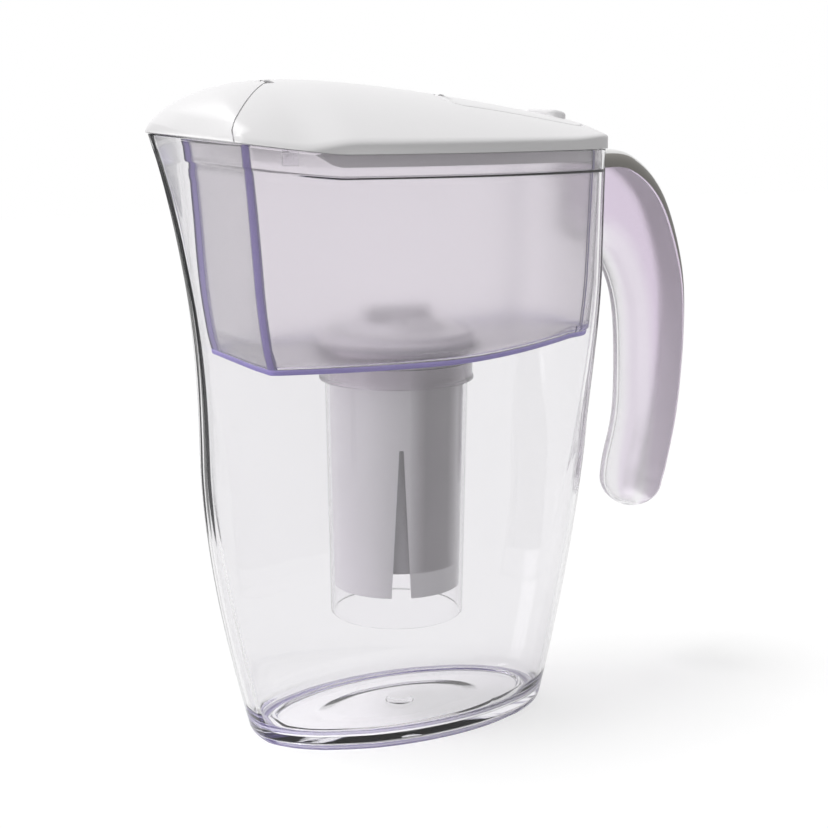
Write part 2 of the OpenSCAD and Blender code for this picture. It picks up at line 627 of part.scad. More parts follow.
// outline of the spout cover, grown by g: a kite from the ridge down to the rim, open towards the spout
seam_x = spout_x - spout_len + 2;
seam_y = shoulder_wid / 2 - 6;
kite_x = 59;
kite_w = 4.5;
module spout_plan(g) {
    translate([0, 0, rim_h - lid_rise])
        linear_extrude(lid_rise + tall)
            offset(delta = g)
                polygon([
                    [-kite_x, -kite_w], [-seam_x, -seam_y],
                    [-seam_x - 2.5, -seam_y - 14], [-far, -seam_y - 14],
                    [-far, seam_y + 14], [-seam_x - 2.5, seam_y + 14], [-seam_x, seam_y], [-kite_x, kite_w]
                ]);
}

// hinge of a cover: a knuckle on the cover between two cheeks on the lid, with the pin along Y
turn_r = barrel_r + 0.3;             // the cover's edge is round about the pin
knuckle = 7;
kite_knuckle = 3;
cheek_t = 3.2;
cheek_gap = 0.3;
cheek_top = 0.5;                     // the cheeks end this far above the pin's axis, under the opened cover
turn_gap = 0.4;                      // room round the cover's turning edge
pin_reach = knuckle + cheek_gap + cheek_t;
kite_reach = kite_knuckle + cheek_gap + cheek_t;
flap_ax = flap_x0 + turn_r;
flap_az = lid_z([flap_ax, 0]) - turn_r;
spout_ax = -kite_x - turn_r;
spout_az = lid_z([spout_ax, 0]) - turn_r;
module cheeks(x, z, half, back) {
    for (side = [-1, 1]) {
        y0 = side > 0 ? half + cheek_gap : -half - cheek_gap - cheek_t;
        rod(x, z, barrel_r, y0, y0 + cheek_t);
        block(min(x, x + back), max(x, x + back), y0, y0 + cheek_t, z - barrel_r, z + cheek_top);
    }
}
// Room in a cover for the lid's cheeks.
module cheek_room(x, z, half, back) {
    for (side = [-1, 1]) {
        y0 = side > 0 ? half : -half - 2 * cheek_gap - cheek_t;
        rod(x, z, turn_r + 0.3, y0, y0 + cheek_t + 2 * cheek_gap);
        block(min(x, x + back), max(x, x + back), y0, y0 + cheek_t + 2 * cheek_gap, z - 8, z + 8);
    }
}

skirt_t = 1.6;
skirt_in = rim_res_wall + slip;
// The flange that rests on the rims of the jug and the reservoir, and the skirt that drops into the
// reservoir.
// The skirt fades out towards the spout, where the catches are.
function skirt_low(ring) =
    [for (p = ring) [p.x, p.y, rim_h + lift(p.x, rim_h) - mix(0.2, skirt_h, ease((p.x + 58) / 12))]];
function rim_line(d) = mirrored(res_half(rim_h, d));
// The same outline on the shell's inner wall, so that the two share that wall's corners.
function wall_line() =
    let (wall = inset(lid_line(), lid_skin), front = wall[shoulder_i])
    mirrored(concat(
        [for (i = [0:shoulder_i]) wall[i]],
        [for (k = [1:panel_n]) [front.x, front.y * (1 - k / panel_n)]]));
module rim_ring() {
    d = rim_wall + res_gap + skirt_in;
    band([
        at(wall_line(), rim_h + fit), at(wall_line(), rim_h + 1.8), at(rim_line(d + skirt_t), rim_h + 1.8),
        skirt_low(rim_line(d + skirt_t)), skirt_low(rim_line(d)), at(rim_line(d), rim_h + fit)
    ]);
}
// Thickened edges and seats round the two openings.
module edges() {
    intersection() {
        shell(0.6, rebate_d + 1.9);
        union() { flap_plan(cover_gap + 1.6); spout_plan(cover_gap + 1.6); }
    }
}
module seats() {
    intersection() {
        shell(rebate_d, rebate_d + 1.6);
        difference() {
            union() { flap_plan(cover_gap + 0.8); spout_plan(cover_gap + 0.8); }
            flap_plan(-rebate_w);
            spout_plan(-2.2);
            slab(spout_ax - 4, flap_ax + 3.2);
            slab(-far, -seam_x + 2);
        }
    }
}

module lid() color([0.96, 0.96, 0.96])
    difference() {
        union() {
            difference() {
                union() { shell(0, lid_skin); edges(); }
                intersection() { flap_plan(cover_gap); slab(flap_ax - 0.6, far); }
                intersection() { spout_plan(cover_gap); slab(-far, spout_ax + 0.6); }
                intersection() {
                    flap_plan(cover_gap);
                    union() {
                        rod(flap_ax, flap_az, turn_r + turn_gap, -flap_half, flap_half);
                        block(
                            flap_ax - turn_r - turn_gap, flap_ax,
                            -flap_half, flap_half, flap_az, flap_az + tall);
                    }
                }
                rod(spout_ax, spout_az, turn_r + turn_gap, -kite_w - 2 * turn_r, kite_w + 2 * turn_r);
            }
            seats();
            rim_ring();
            intersection() {
                dome(0.5, 0, 0.5);
                union() {
                    cheeks(flap_ax, flap_az, knuckle, -5);
                    cheeks(spout_ax, spout_az, kite_knuckle, 6);
                }
            }
        }
        rod(flap_ax, flap_az, pin_r + pin_fit, -pin_reach - 1, pin_reach + 1);
        rod(spout_ax, spout_az, pin_r + pin_fit, -kite_reach - 1, kite_reach + 1);
    }

tab_x = flap_x1 - 6.5;
module tab_plan(d) {
    offset(r = 4 - d, $fn = 24) square([1.5, 14], center = true);
}
module fill_flap() color([0.97, 0.97, 0.97])
    difference() {
        union() {
            difference() {
                intersection() {
                    shell(0, cover_skin);
                    flap_plan(0);
                    union() {
                        slab(flap_ax, far);
                        rod(flap_ax, flap_az, turn_r, -flap_half, flap_half);
                    }
                }
                cheek_room(flap_ax, flap_az, knuckle, -6);
            }
            intersection() {
                dome(0.02, 0);
                union() {
                    rod(flap_ax, flap_az, barrel_r, -knuckle, knuckle);
                    block(flap_ax, flap_ax + 3.5, -knuckle, knuckle, flap_az - 0.6, flap_az + 8);
                }
            }
            translate([tab_x, 0, lid_z([tab_x, 0])])
                rotate([0, atan((lid_z([tab_x - 5, 0]) - lid_z([tab_x + 5, 0])) / 10), 0]) {
                    translate([0, 0, -1.4]) linear_extrude(1.4 + tab_h - 0.8) tab_plan(0);
                    linear_extrude(tab_h) tab_plan(0.8);
                }
        }
        rod(flap_ax, flap_az, pin_r + pin_fit, -pin_reach, pin_reach);
    }
module flap_pin() color([0.75, 0.76, 0.78]) rod(flap_ax, flap_az, pin_r, -pin_reach, pin_reach, 24);

module spout_cover() color([0.97, 0.97, 0.97])
    difference() {
        union() {
            difference() {
                intersection() {
                    shell(0, cover_skin);
                    spout_plan(0);
                    union() {
                        slab(-far, spout_ax);
                        rod(spout_ax, spout_az, turn_r, -shoulder_wid, shoulder_wid);
                    }
                }
                cheek_room(spout_ax, spout_az, kite_knuckle, 7);
                block(-far, -kite_x - 1, -far, far, 0, rim_h - 1 + fit);
            }
            intersection() {
                dome(0.02, 0);
                union() {
                    rod(spout_ax, spout_az, barrel_r, -kite_knuckle, kite_knuckle);
                    block(
                        spout_ax - 3.5, spout_ax,
                        -kite_knuckle, kite_knuckle, spout_az - 0.6, spout_az + 8);
                }
            }
        }
        rod(spout_ax, spout_az, pin_r + pin_fit, -kite_reach, kite_reach);
    }
module spout_pin() color([0.75, 0.76, 0.78]) rod(spout_ax, spout_az, pin_r, -kite_reach, kite_reach, 24);

jug();
handle_channel();
handle_cover();
reservoir();
catch_block(1);  // catch_left
catch_block(-1);  // catch_right
on_axis() sleeve();
on_axis() gasket();
on_axis() cartridge_shell();
on_axis() cartridge_cup();
on_axis() cartridge_cap();
on_axis() inlet_screen();
on_axis() outlet_screen();
on_axis() felt_pad();
on_axis() carbon_bed();
on_axis() resin_bed();
lid();
fill_flap();
flap_pin();
spout_cover();
spout_pin();
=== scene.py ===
import math

import bmesh
import bpy
import numpy as np
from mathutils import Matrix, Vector


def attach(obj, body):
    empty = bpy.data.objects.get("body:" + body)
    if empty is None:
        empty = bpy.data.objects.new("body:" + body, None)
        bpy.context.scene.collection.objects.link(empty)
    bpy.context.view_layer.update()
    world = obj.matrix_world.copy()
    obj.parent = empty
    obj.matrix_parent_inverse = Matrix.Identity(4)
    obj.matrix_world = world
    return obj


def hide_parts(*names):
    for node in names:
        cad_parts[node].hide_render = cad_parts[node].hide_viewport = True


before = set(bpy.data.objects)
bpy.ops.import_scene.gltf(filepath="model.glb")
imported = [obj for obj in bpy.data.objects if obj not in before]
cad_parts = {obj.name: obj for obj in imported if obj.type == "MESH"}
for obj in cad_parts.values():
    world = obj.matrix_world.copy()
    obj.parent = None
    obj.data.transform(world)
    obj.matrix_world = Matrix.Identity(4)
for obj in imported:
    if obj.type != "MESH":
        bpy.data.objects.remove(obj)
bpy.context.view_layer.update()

mm = 0.001
scene = bpy.context.scene
print("frame loaded:", len(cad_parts), "nodes")


# Sizes in this part are in millimetres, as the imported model's source has them.
pitcher = {
    "rimHeight": 246.0, "footLength": 138.0, "footWidth": 78.0, "bellyHeight": 120.0, "bellyLength": 178.0,
    "bellyWidth": 95.0, "rimWidth": 99.0, "sternX": 90.0, "sternWidth": 66.0, "sternBulge": 13.0,
    "spoutX": 108.5, "spoutRise": 8.0, "spoutLength": 25.0, "shoulderWidth": 72.0,
    "sternSteps": 5, "sideSteps": 14, "bowSteps": 5, "sidePeak": -5.0,
    "wall": 2.6, "rimWall": 1.4, "ledgeDepth": 9.0, "liftFrom": 46.0,
}
creaseStep = pitcher["sternSteps"]
shoulderStep = pitcher["sternSteps"] + pitcher["sideSteps"]
halfSteps = shoulderStep + pitcher["bowSteps"]


def mix(a, b, t):
    return a + (b - a) * t


def clamp(t):
    return np.clip(t, 0.0, 1.0)


def ease(t):
    u = clamp(t)
    return u * u * (3 - 2 * u)


def swell(z):
    return 1 - (1 - clamp(z / pitcher["bellyHeight"])) ** 1.6


def above(z):
    return max(0.0, z - pitcher["bellyHeight"]) / (pitcher["rimHeight"] - pitcher["bellyHeight"])


def halfLength(z):
    return mix(pitcher["footLength"], pitcher["bellyLength"], swell(z)) / 2


def halfWidth(z):
    low = mix(pitcher["footWidth"], pitcher["bellyWidth"], swell(z)) / 2
    return low + (pitcher["rimWidth"] - pitcher["bellyWidth"]) / 2 * above(z)


def keelX(z):
    return halfLength(z) + (pitcher["spoutX"] - pitcher["bellyLength"] / 2) * above(z) ** 2.45


def sternX(z):
    return halfLength(z) + (pitcher["sternX"] - pitcher["bellyLength"] / 2) * above(z)


def boatness(z):
    return ease((z - 28) / (0.8 * pitcher["rimHeight"] - 28))


def shoulderX(z):
    return pitcher["spoutX"] - pitcher["spoutLength"] - 0.25 * (pitcher["spoutX"] - keelX(z))


def sideY(z, x):
    # half the width at a height, for one x or an array of them
    crease, peak = sternX(z) - pitcher["sternBulge"], pitcher["sidePeak"]
    end = np.where(x > peak, pitcher["sternWidth"], pitcher["shoulderWidth"]) / 2
    t = np.where(x > peak, (x - peak) / (crease - peak), (peak - x) / (shoulderX(z) + peak))
    return halfWidth(z) - (halfWidth(z) - end) * t * t


def boatPoint(z, i):
    if i <= creaseStep:
        u = 1 - (1 - i / pitcher["sternSteps"]) ** 1.5
        return sternX(z) - pitcher["sternBulge"] * (1 - (1 - u ** 4) ** (2 / 3)), pitcher["sternWidth"] / 2 * u
    if i <= shoulderStep:
        x = mix(sternX(z) - pitcher["sternBulge"], -shoulderX(z), (i - creaseStep) / pitcher["sideSteps"])
        return x, sideY(z, x)
    w = (i - shoulderStep) / pitcher["bowSteps"]
    bulge = 0.84 * math.sin(math.pi * w)
    return -mix(shoulderX(z), keelX(z), w) - bulge, pitcher["shoulderWidth"] / 2 * (1 - w) + bulge


def ellipsePoint(z, i):
    if i <= creaseStep:
        a = 60 * (1 - (1 - i / pitcher["sternSteps"]) ** 1.5)
    elif i <= shoulderStep:
        a = mix(60, 125, (i - creaseStep) / pitcher["sideSteps"])
    else:
        a = mix(125, 180, (i - shoulderStep) / pitcher["bowSteps"])
    return halfLength(z) * math.cos(math.radians(a)), halfWidth(z) * math.sin(math.radians(a))


def rimLift(x):
    # the rim rises towards the spout
    run = pitcher["spoutX"] - pitcher["liftFrom"]
    return pitcher["spoutRise"] * clamp((-np.asarray(x, float) - pitcher["liftFrom"]) / run) ** 1.2


def lift(x, z):
    # what is near the rim rises with it
    return rimLift(x) * ease((z - 0.78 * pitcher["rimHeight"]) / (0.22 * pitcher["rimHeight"]))


def spline(a, b, c, d, t):
    # a Catmull-Rom curve from b to c
    return 0.5 * (2 * b + (c - a) * t + (2 * a - 5 * b + 4 * c - d) * t ** 2 + (3 * b - a - 3 * c + d) * t ** 3)


def bend(a, c, b, t):
    # a round from a to b, pulled towards the corner c
    return (1 - t) ** 2 * a + 2 * t * (1 - t) * c + t ** 2 * b


def mirrored(half):
    return np.vstack([half, half[-2:0:-1] * (1, -1)])


def jugCorners(z):
    b = boatness(z)
    half = [np.array(ellipsePoint(z, i)) * (1 - b) + np.array(boatPoint(z, i)) * b
            for i in range(halfSteps + 1)]
    return mirrored(np.array(half))


def inset(ring, d):
    before, after = ring - np.roll(ring, 1, 0), np.roll(ring, -1, 0) - ring
    e0 = before / np.linalg.norm(before, axis=1)[:, None]
    e1 = after / np.linalg.norm(after, axis=1)[:, None]
    n0, n1 = np.c_[e0[:, 1], -e0[:, 0]], np.c_[e1[:, 1], -e1[:, 0]]
    m = n0 + n1
    m /= np.linalg.norm(m, axis=1)[:, None]
    return ring - m * d / np.maximum(0.4, (m * n0).sum(1))[:, None]


def curveThrough(points, count):
    # a Catmull-Rom curve through the points, at count even steps of its length
    p = np.vstack([2 * points[0] - points[1], points, 2 * points[-1] - points[-2]])
    fine = []
    for k in range(1, len(p) - 2):
        t = np.linspace(0, 1, 24, endpoint=False)[:, None]
        fine.append(spline(p[k - 1], p[k], p[k + 1], p[k + 2], t))
    fine = np.vstack(fine + [p[-2:-1]])
    return evenly(fine, count)


def evenly(line, count, start=0.0, end=0.0):
    # count points along a polyline, leaving out a length at each end
    run = np.r_[0, np.cumsum(np.linalg.norm(np.diff(line, axis=0), axis=1))]
    s = np.linspace(start, run[-1] - end, count)
    return np.c_[np.interp(s, run, line[:, 0]), np.interp(s, run, line[:, 1])]


corner = {"sternPoints": 18, "sidePoints": 44, "bowPoints": 14, "cornerPoints": 7,
          "crease": 3.0, "shoulder": 3.5, "keel": 3.0}


def arc(a, c, b, count):
    t = np.linspace(0, 1, count + 2)[1:-1, None]
    return bend(a, c, b, t)


def smoothHalf(cornersHalf, pieces, radii):
    # dense half outline: a curve through each run of corners, joined by small rounds
    runs = []
    for k, (first, last, count) in enumerate(pieces):
        points = cornersHalf[first:last + 1]
        if k == 0:
            points = np.vstack([points[3:0:-1] * (1, -1), points])
            line = curveThrough(points, 241)
            line = line[np.argmin(np.abs(line[:, 1])):]
            line[0, 1] = 0.0
        else:
            line = curveThrough(points, 241)
        length = np.linalg.norm(np.diff(line, axis=0), axis=1).sum()
        start = min(radii[k - 1], length / 3) if k > 0 else 0.0
        end = min(radii[k], length / 3)
        runs.append((evenly(line, count, start, end), line[-1]))
    out = [runs[0][0]]
    for k in range(1, len(runs)):
        out.append(arc(out[-1][-1], runs[k - 1][1], runs[k][0][0], corner["cornerPoints"]))
        out.append(runs[k][0])
    tipEnd = out[-1][-1]
    tip = runs[-1][1]
    if radii[-1] > 0:
        mirror = tipEnd * (1, -1)
        out.append(arc(tipEnd, tip, mirror, 2 * corner["cornerPoints"] + 1)[:corner["cornerPoints"] + 1])
    half = np.vstack(out)
    half[0, 1] = 0.0
    if radii[-1] > 0:
        half[-1, 1] = 0.0
    return half


def jugOutline(z, d=0.0):
    corners = inset(jugCorners(z), d)[:halfSteps + 1]
    b = boatness(z)
    pieces = [(0, creaseStep, corner["sternPoints"]), (creaseStep, shoulderStep, corner["sidePoints"]),
              (shoulderStep, halfSteps, corner["bowPoints"])]
    radii = [corner["crease"], corner["shoulder"], corner["keel"]]
    return mirrored(smoothHalf(corners, pieces, [r + (1 - b) * 6 for r in radii]))


def panelOutline(z, d):
    # follows the jug from the rear to the shoulder, then runs straight across behind the spout
    corners = inset(jugCorners(z), d)[:shoulderStep + 1]
    corners = np.vstack([corners, [corners[-1] * (1, 0.5), corners[-1] * (1, 0)]])
    pieces = [(0, creaseStep, corner["sternPoints"]), (creaseStep, shoulderStep, corner["sidePoints"])]
    radii = [corner["crease"], 2.0]
    return corners, pieces, radii


def raised(outline, z, dz=0.0):
    return np.c_[outline, z + dz + np.array([lift(x, z) for x in outline[:, 0]])]


def areaNormals(verts, faces):
    normals = np.zeros_like(verts)
    for f in faces:
        p = verts[list(f)]
        n = np.zeros(3)
        for k in range(1, len(f) - 1):
            n += np.cross(p[k] - p[0], p[k + 1] - p[0])
        for v in f:
            normals[v] += n
    size = np.linalg.norm(normals, axis=1)[:, None]
    return normals / np.maximum(size, 1e-20)


def loft(rings, capFirst=True, capLast=True, closed=False):
    # vertices and faces of rings with one count, joined by quads
    n = len(rings[0])
    verts = np.vstack(rings)
    faces = []
    last = len(rings) if closed else len(rings) - 1
    for r in range(last):
        a, b = r * n, ((r + 1) % len(rings)) * n
        for i in range(n):
            j = (i + 1) % n
            faces.append((a + i, b + i, b + j, a + j)[::-1])
    if not closed and capFirst:
        centre = len(verts)
        verts = np.vstack([verts, rings[0].mean(0)])
        faces += [(centre, (i + 1) % n, i) for i in range(n)]
    if not closed and capLast:
        centre = len(verts)
        verts = np.vstack([verts, rings[-1].mean(0)])
        base = (len(rings) - 1) * n
        faces += [(centre, base + i, base + (i + 1) % n) for i in range(n)]
    return verts, faces


def volumeOf(verts, faces):
    total = 0.0
    for f in faces:
        for k in range(1, len(f) - 1):
            total += np.dot(verts[f[0]], np.cross(verts[f[k]], verts[f[k + 1]]))
    return total / 6


def facingOut(verts, faces):
    return [f[::-1] for f in faces] if volumeOf(verts, faces) < 0 else faces


def makePiece(name, verts, faces, weighted=True):
    mesh = bpy.data.meshes.new(name)
    verts = np.asarray(verts, float) * mm
    mesh.from_pydata(verts.tolist(), [], [tuple(int(i) for i in f) for f in faces])
    mesh.update()
    mesh.polygons.foreach_set("use_smooth", [True] * len(mesh.polygons))
    if weighted:
        mesh.normals_split_custom_set_from_vertices(areaNormals(verts, faces))
    piece = bpy.data.objects.new(name, mesh)
    scene.collection.objects.link(piece)
    return piece


def rounded(path, radius, steps=4):
    # rounds the corners of an open path of tuples, each with its own radius where given
    path = [np.array(p, float) for p in path]
    out = [path[0]]
    for k in range(1, len(path) - 1):
        p, r = path[k], radius[k] if isinstance(radius, (list, tuple)) else radius
        a, b = path[k - 1] - p, path[k + 1] - p
        la, lb = np.linalg.norm(a[:2]), np.linalg.norm(b[:2])
        r = min(r, 0.45 * la, 0.45 * lb)
        if r <= 0.01:
            out.append(p)
            continue
        start, end = p + a / la * r, p + b / lb * r
        for t in np.linspace(0, 1, steps + 1):
            out.append(bend(start, p, end, t))
    out.append(path[-1])
    return out


def circle(n, r, z, angles, cx=0.0):
    return np.c_[cx + r * np.cos(angles), r * np.sin(angles), np.full(n, z)]


def ringAngles(outline):
    half = np.abs(outline).max(0)
    return np.arctan2(outline[:, 1] / half[1], outline[:, 0] / half[0])


def tidyNormals(piece, angle=35):
    mesh = piece.data
    mesh.polygons.foreach_set("use_smooth", [True] * len(mesh.polygons))
    mesh.set_sharp_from_angle(angle=math.radians(angle))


def carve(piece, other, operation="DIFFERENCE"):
    # joins, cuts or keeps the common part of two closed meshes, then drops the second
    mod = piece.modifiers.new("carve", "BOOLEAN")
    mod.object, mod.operation, mod.solver = other, operation, "EXACT"
    result = bpy.data.meshes.new_from_object(piece.evaluated_get(bpy.context.evaluated_depsgraph_get()))
    piece.modifiers.clear()
    piece.data = result
    bpy.data.objects.remove(other)
    return piece


def revolve(name, profile, segments=128, cx=0.0, closed=True):
    # profile: (radius, z) from the inside bottom round the outside; points on the axis become poles
    profile = np.array(profile, float)
    angles = np.linspace(0, 2 * math.pi, segments, endpoint=False)
    verts, index, faces = [], [], []
    for r, z in profile:
        if r < 1e-6:
            index.append([len(verts)] * segments)
            verts.append((cx, 0, z))
        else:
            index.append(list(range(len(verts), len(verts) + segments)))
            verts += [(cx + r * math.cos(a), r * math.sin(a), z) for a in angles]
    count = len(profile)
    for k in range(count if closed else count - 1):
        a, b = index[k], index[(k + 1) % count]
        for i in range(segments):
            j = (i + 1) % segments
            face = [a[i], a[j], b[j], b[i]]
            face = [v for t, v in enumerate(face) if v != face[t - 1]]
            if len(face) > 2:
                faces.append(tuple(face))
    return makePiece(name, np.array(verts), faces)


def softened(profile, radius, steps=3):
    # rounds every corner of a closed profile of (radius, z) points; one value or one for each corner
    p = [np.array(q, float) for q in profile]
    n = len(p)
    out = []
    for k in range(n):
        r = radius[k] if isinstance(radius, (list, tuple)) else radius
        a, b = p[k - 1] - p[k], p[(k + 1) % n] - p[k]
        la, lb = np.linalg.norm(a), np.linalg.norm(b)
        r = min(r, 0.45 * la, 0.45 * lb)
        if r < 0.02 or p[k][0] < 1e-6:
            out.append(p[k])
            continue
        s, e = p[k] + a / la * r, p[k] + b / lb * r
        for t in np.linspace(0, 1, steps + 1):
            out.append(bend(s, p[k], e, t))
    return out


jugValues = {"floor": 3.0, "hollow": 2.0, "beadIn": 9.0, "beadHeight": 0.8, "nubRadius": 5.5,
             "rimRound": 0.45, "levels": 64, "keelLine": 0.95, "keelIn": 2.2, "ledgeEnd": 58.0}


def buildJug():
    v = jugValues
    rim, floor = pitcher["rimHeight"], v["hollow"] + v["floor"]
    ledge = rim - pitcher["ledgeDepth"]
    rings = []

    def ring(d, z, scale=1.0):
        rings.append(raised(jugOutline(z if scale == 1.0 else 0.0, d) * scale, z))

    def path(points, radius):
        for d, z in rounded(points, radius):
            ring(d, z)

    ring(8.0, v["hollow"] + 0.6, 0.50)
    ring(8.0, v["hollow"] + 0.55, 0.56)
    ring(8.0, v["hollow"] + 0.1, 0.62)
    ring(8.0, v["hollow"], 0.66)
    path([(9.5, v["hollow"]), (6.5, v["hollow"]), (5.0, 0.0), (0.9, 0.0), (0.0, 1.6), (0.0, 6.0)],
         [0, 0.8, 0.7, 0.9, 1.0, 0])
    for z in np.linspace(7.5, ledge - 2, v["levels"]):
        ring(0.0, z)
    path([(0.0, ledge), (0.0, rim), (pitcher["rimWall"], rim), (pitcher["rimWall"], rim - 1)],
         [0, v["rimRound"], v["rimRound"], 0])
    outerRings = len(rings) - 2
    steps = rounded([(pitcher["rimWall"], rim - 3), (pitcher["rimWall"], ledge + 0.35),
                     (pitcher["wall"], ledge - 0.35), (pitcher["wall"], ledge - 4)],
                    [0, 0.45, 0.45, 0])
    for d, z in steps + [(pitcher["wall"], z) for z in np.linspace(ledge - 6, 14, v["levels"])]:
        # round the spout the wall grows thinner smoothly, with no ledge
        plain, smooth = jugOutline(z, d), jugOutline(z,
                                                     mix(pitcher["rimWall"], pitcher["wall"],
                                                         float(ease((rim - 2 - z) / 36))))
        front = ease((-v["ledgeEnd"] - plain[:, 0]) / 9)[:, None]
        rings.append(raised(plain * (1 - front) + smooth * front, z))
    path([(pitcher["wall"], 13.0), (pitcher["wall"] + 0.6, floor + 3), (pitcher["wall"] + 4, floor),
          (v["beadIn"], floor),
          (v["beadIn"] + 0.8, floor + v["beadHeight"]), (v["beadIn"] + 2.2, floor + v["beadHeight"]),
          (v["beadIn"] + 3, floor), (v["beadIn"] + 5, floor)], [0, 2.0, 2.0, 0.4, 0.4, 0.4, 0.4, 0])
    last = rings[-1]
    n, angles = len(last), ringAngles(last[:, :2])
    for r, z in [(12, 0), (v["nubRadius"] + 0.9, 0.0), (v["nubRadius"] + 0.4, 0.25),
                 (v["nubRadius"] - 0.2, 0.95),
                 (v["nubRadius"] - 0.9, 1.2), (2.0, 1.25)]:
        rings.append(circle(n, r, floor + z, angles))
    verts, faces = loft(rings)
    jug = makePiece("jugShell", verts, faces)
    x, y, z = np.array(verts).T
    keel = np.array([keelX(h) for h in z])
    # painted shade: a dark band on the outer wall, on either side of the keel and a little way in from it
    tip = np.array([jugOutline(h)[len(jugOutline(h)) // 2] for h in np.linspace(0, pitcher["rimHeight"], 60)])
    tipX = np.interp(z, np.linspace(0, pitcher["rimHeight"], 60), tip[:, 0])
    away = np.hypot(x - tipX, y)
    outer = (np.arange(len(verts)) // n < outerRings) & (z > 30)
    low = 1 - clamp((z - 90) / 130)
    place, half = v["keelIn"] + 2.0 * low, v["keelLine"] + 0.75 * low
    line = np.where(outer, np.abs(away - place) / half, 9.0) + 3 * (1 - ease((z - 50) / 60))
    mark(jug, "corner", line)
    # painted shade: a violet band along the bottom edge of the jug
    mark(jug, "foot", np.where(z < 12, np.abs(z - 0.6) / 0.9 + np.where(z > 3, 5, 0), 9.0))
    return jug


reservoirValues = {"depth": 84.5, "wall": 2.0, "gap": 0.6, "draft": 2.0, "rise": 5.0, "boreRadius": 30.4,
                   "neckWall": 1.9, "neckLength": 11.0, "seatUp": 4.0, "axisX": -1.4, "flangeRadius": 33.4,
                   "lipRadius": 28.95, "lipHeight": 3.0, "levels": 22, "farLine": 9.0, "nearLine": 2.4,
                   "sideLine": 1.1, "rearLine": 0.5, "footLine": 1.1}


def reservoirRing(z, extra, body):
    v = reservoirValues
    low, ledge = pitcher["rimHeight"] - v["depth"], pitcher["rimHeight"] - pitcher["ledgeDepth"]
    gap = v["gap"] + (v["draft"] * (ledge - z) / (ledge - low) if z < ledge else 0)
    corners, pieces, radii = panelOutline(z, body + gap + extra)
    half = smoothHalf(corners[:shoulderStep + 1], pieces, [radii[0], 0.0])
    # a small round into the flat front panel
    shoulder = half[-1]
    r = radii[1]
    step = half[-2] - shoulder
    a = shoulder + step / np.linalg.norm(step) * r
    half = half[np.linalg.norm(half - shoulder, axis=1) > r]
    b = shoulder + (0, -r)
    panel = np.c_[np.full(25, shoulder[0]), np.linspace(b[1], 0, 25)]
    half = evenlyKeep(np.vstack([half, a]), corner["sternPoints"] + corner["sidePoints"] + 7)
    return mirrored(np.vstack([half, arc(a, shoulder, b, 5), panel]))


def evenlyKeep(line, count):
    # the same line with a fixed number of points, spread as its own points are
    t = np.linspace(0, len(line) - 1, count)
    k = np.arange(len(line))
    return np.c_[np.interp(t, k, line[:, 0]), np.interp(t, k, line[:, 1])]


def floorLift(x):
    return reservoirValues["rise"] * clamp(x / 66) ** 1.6


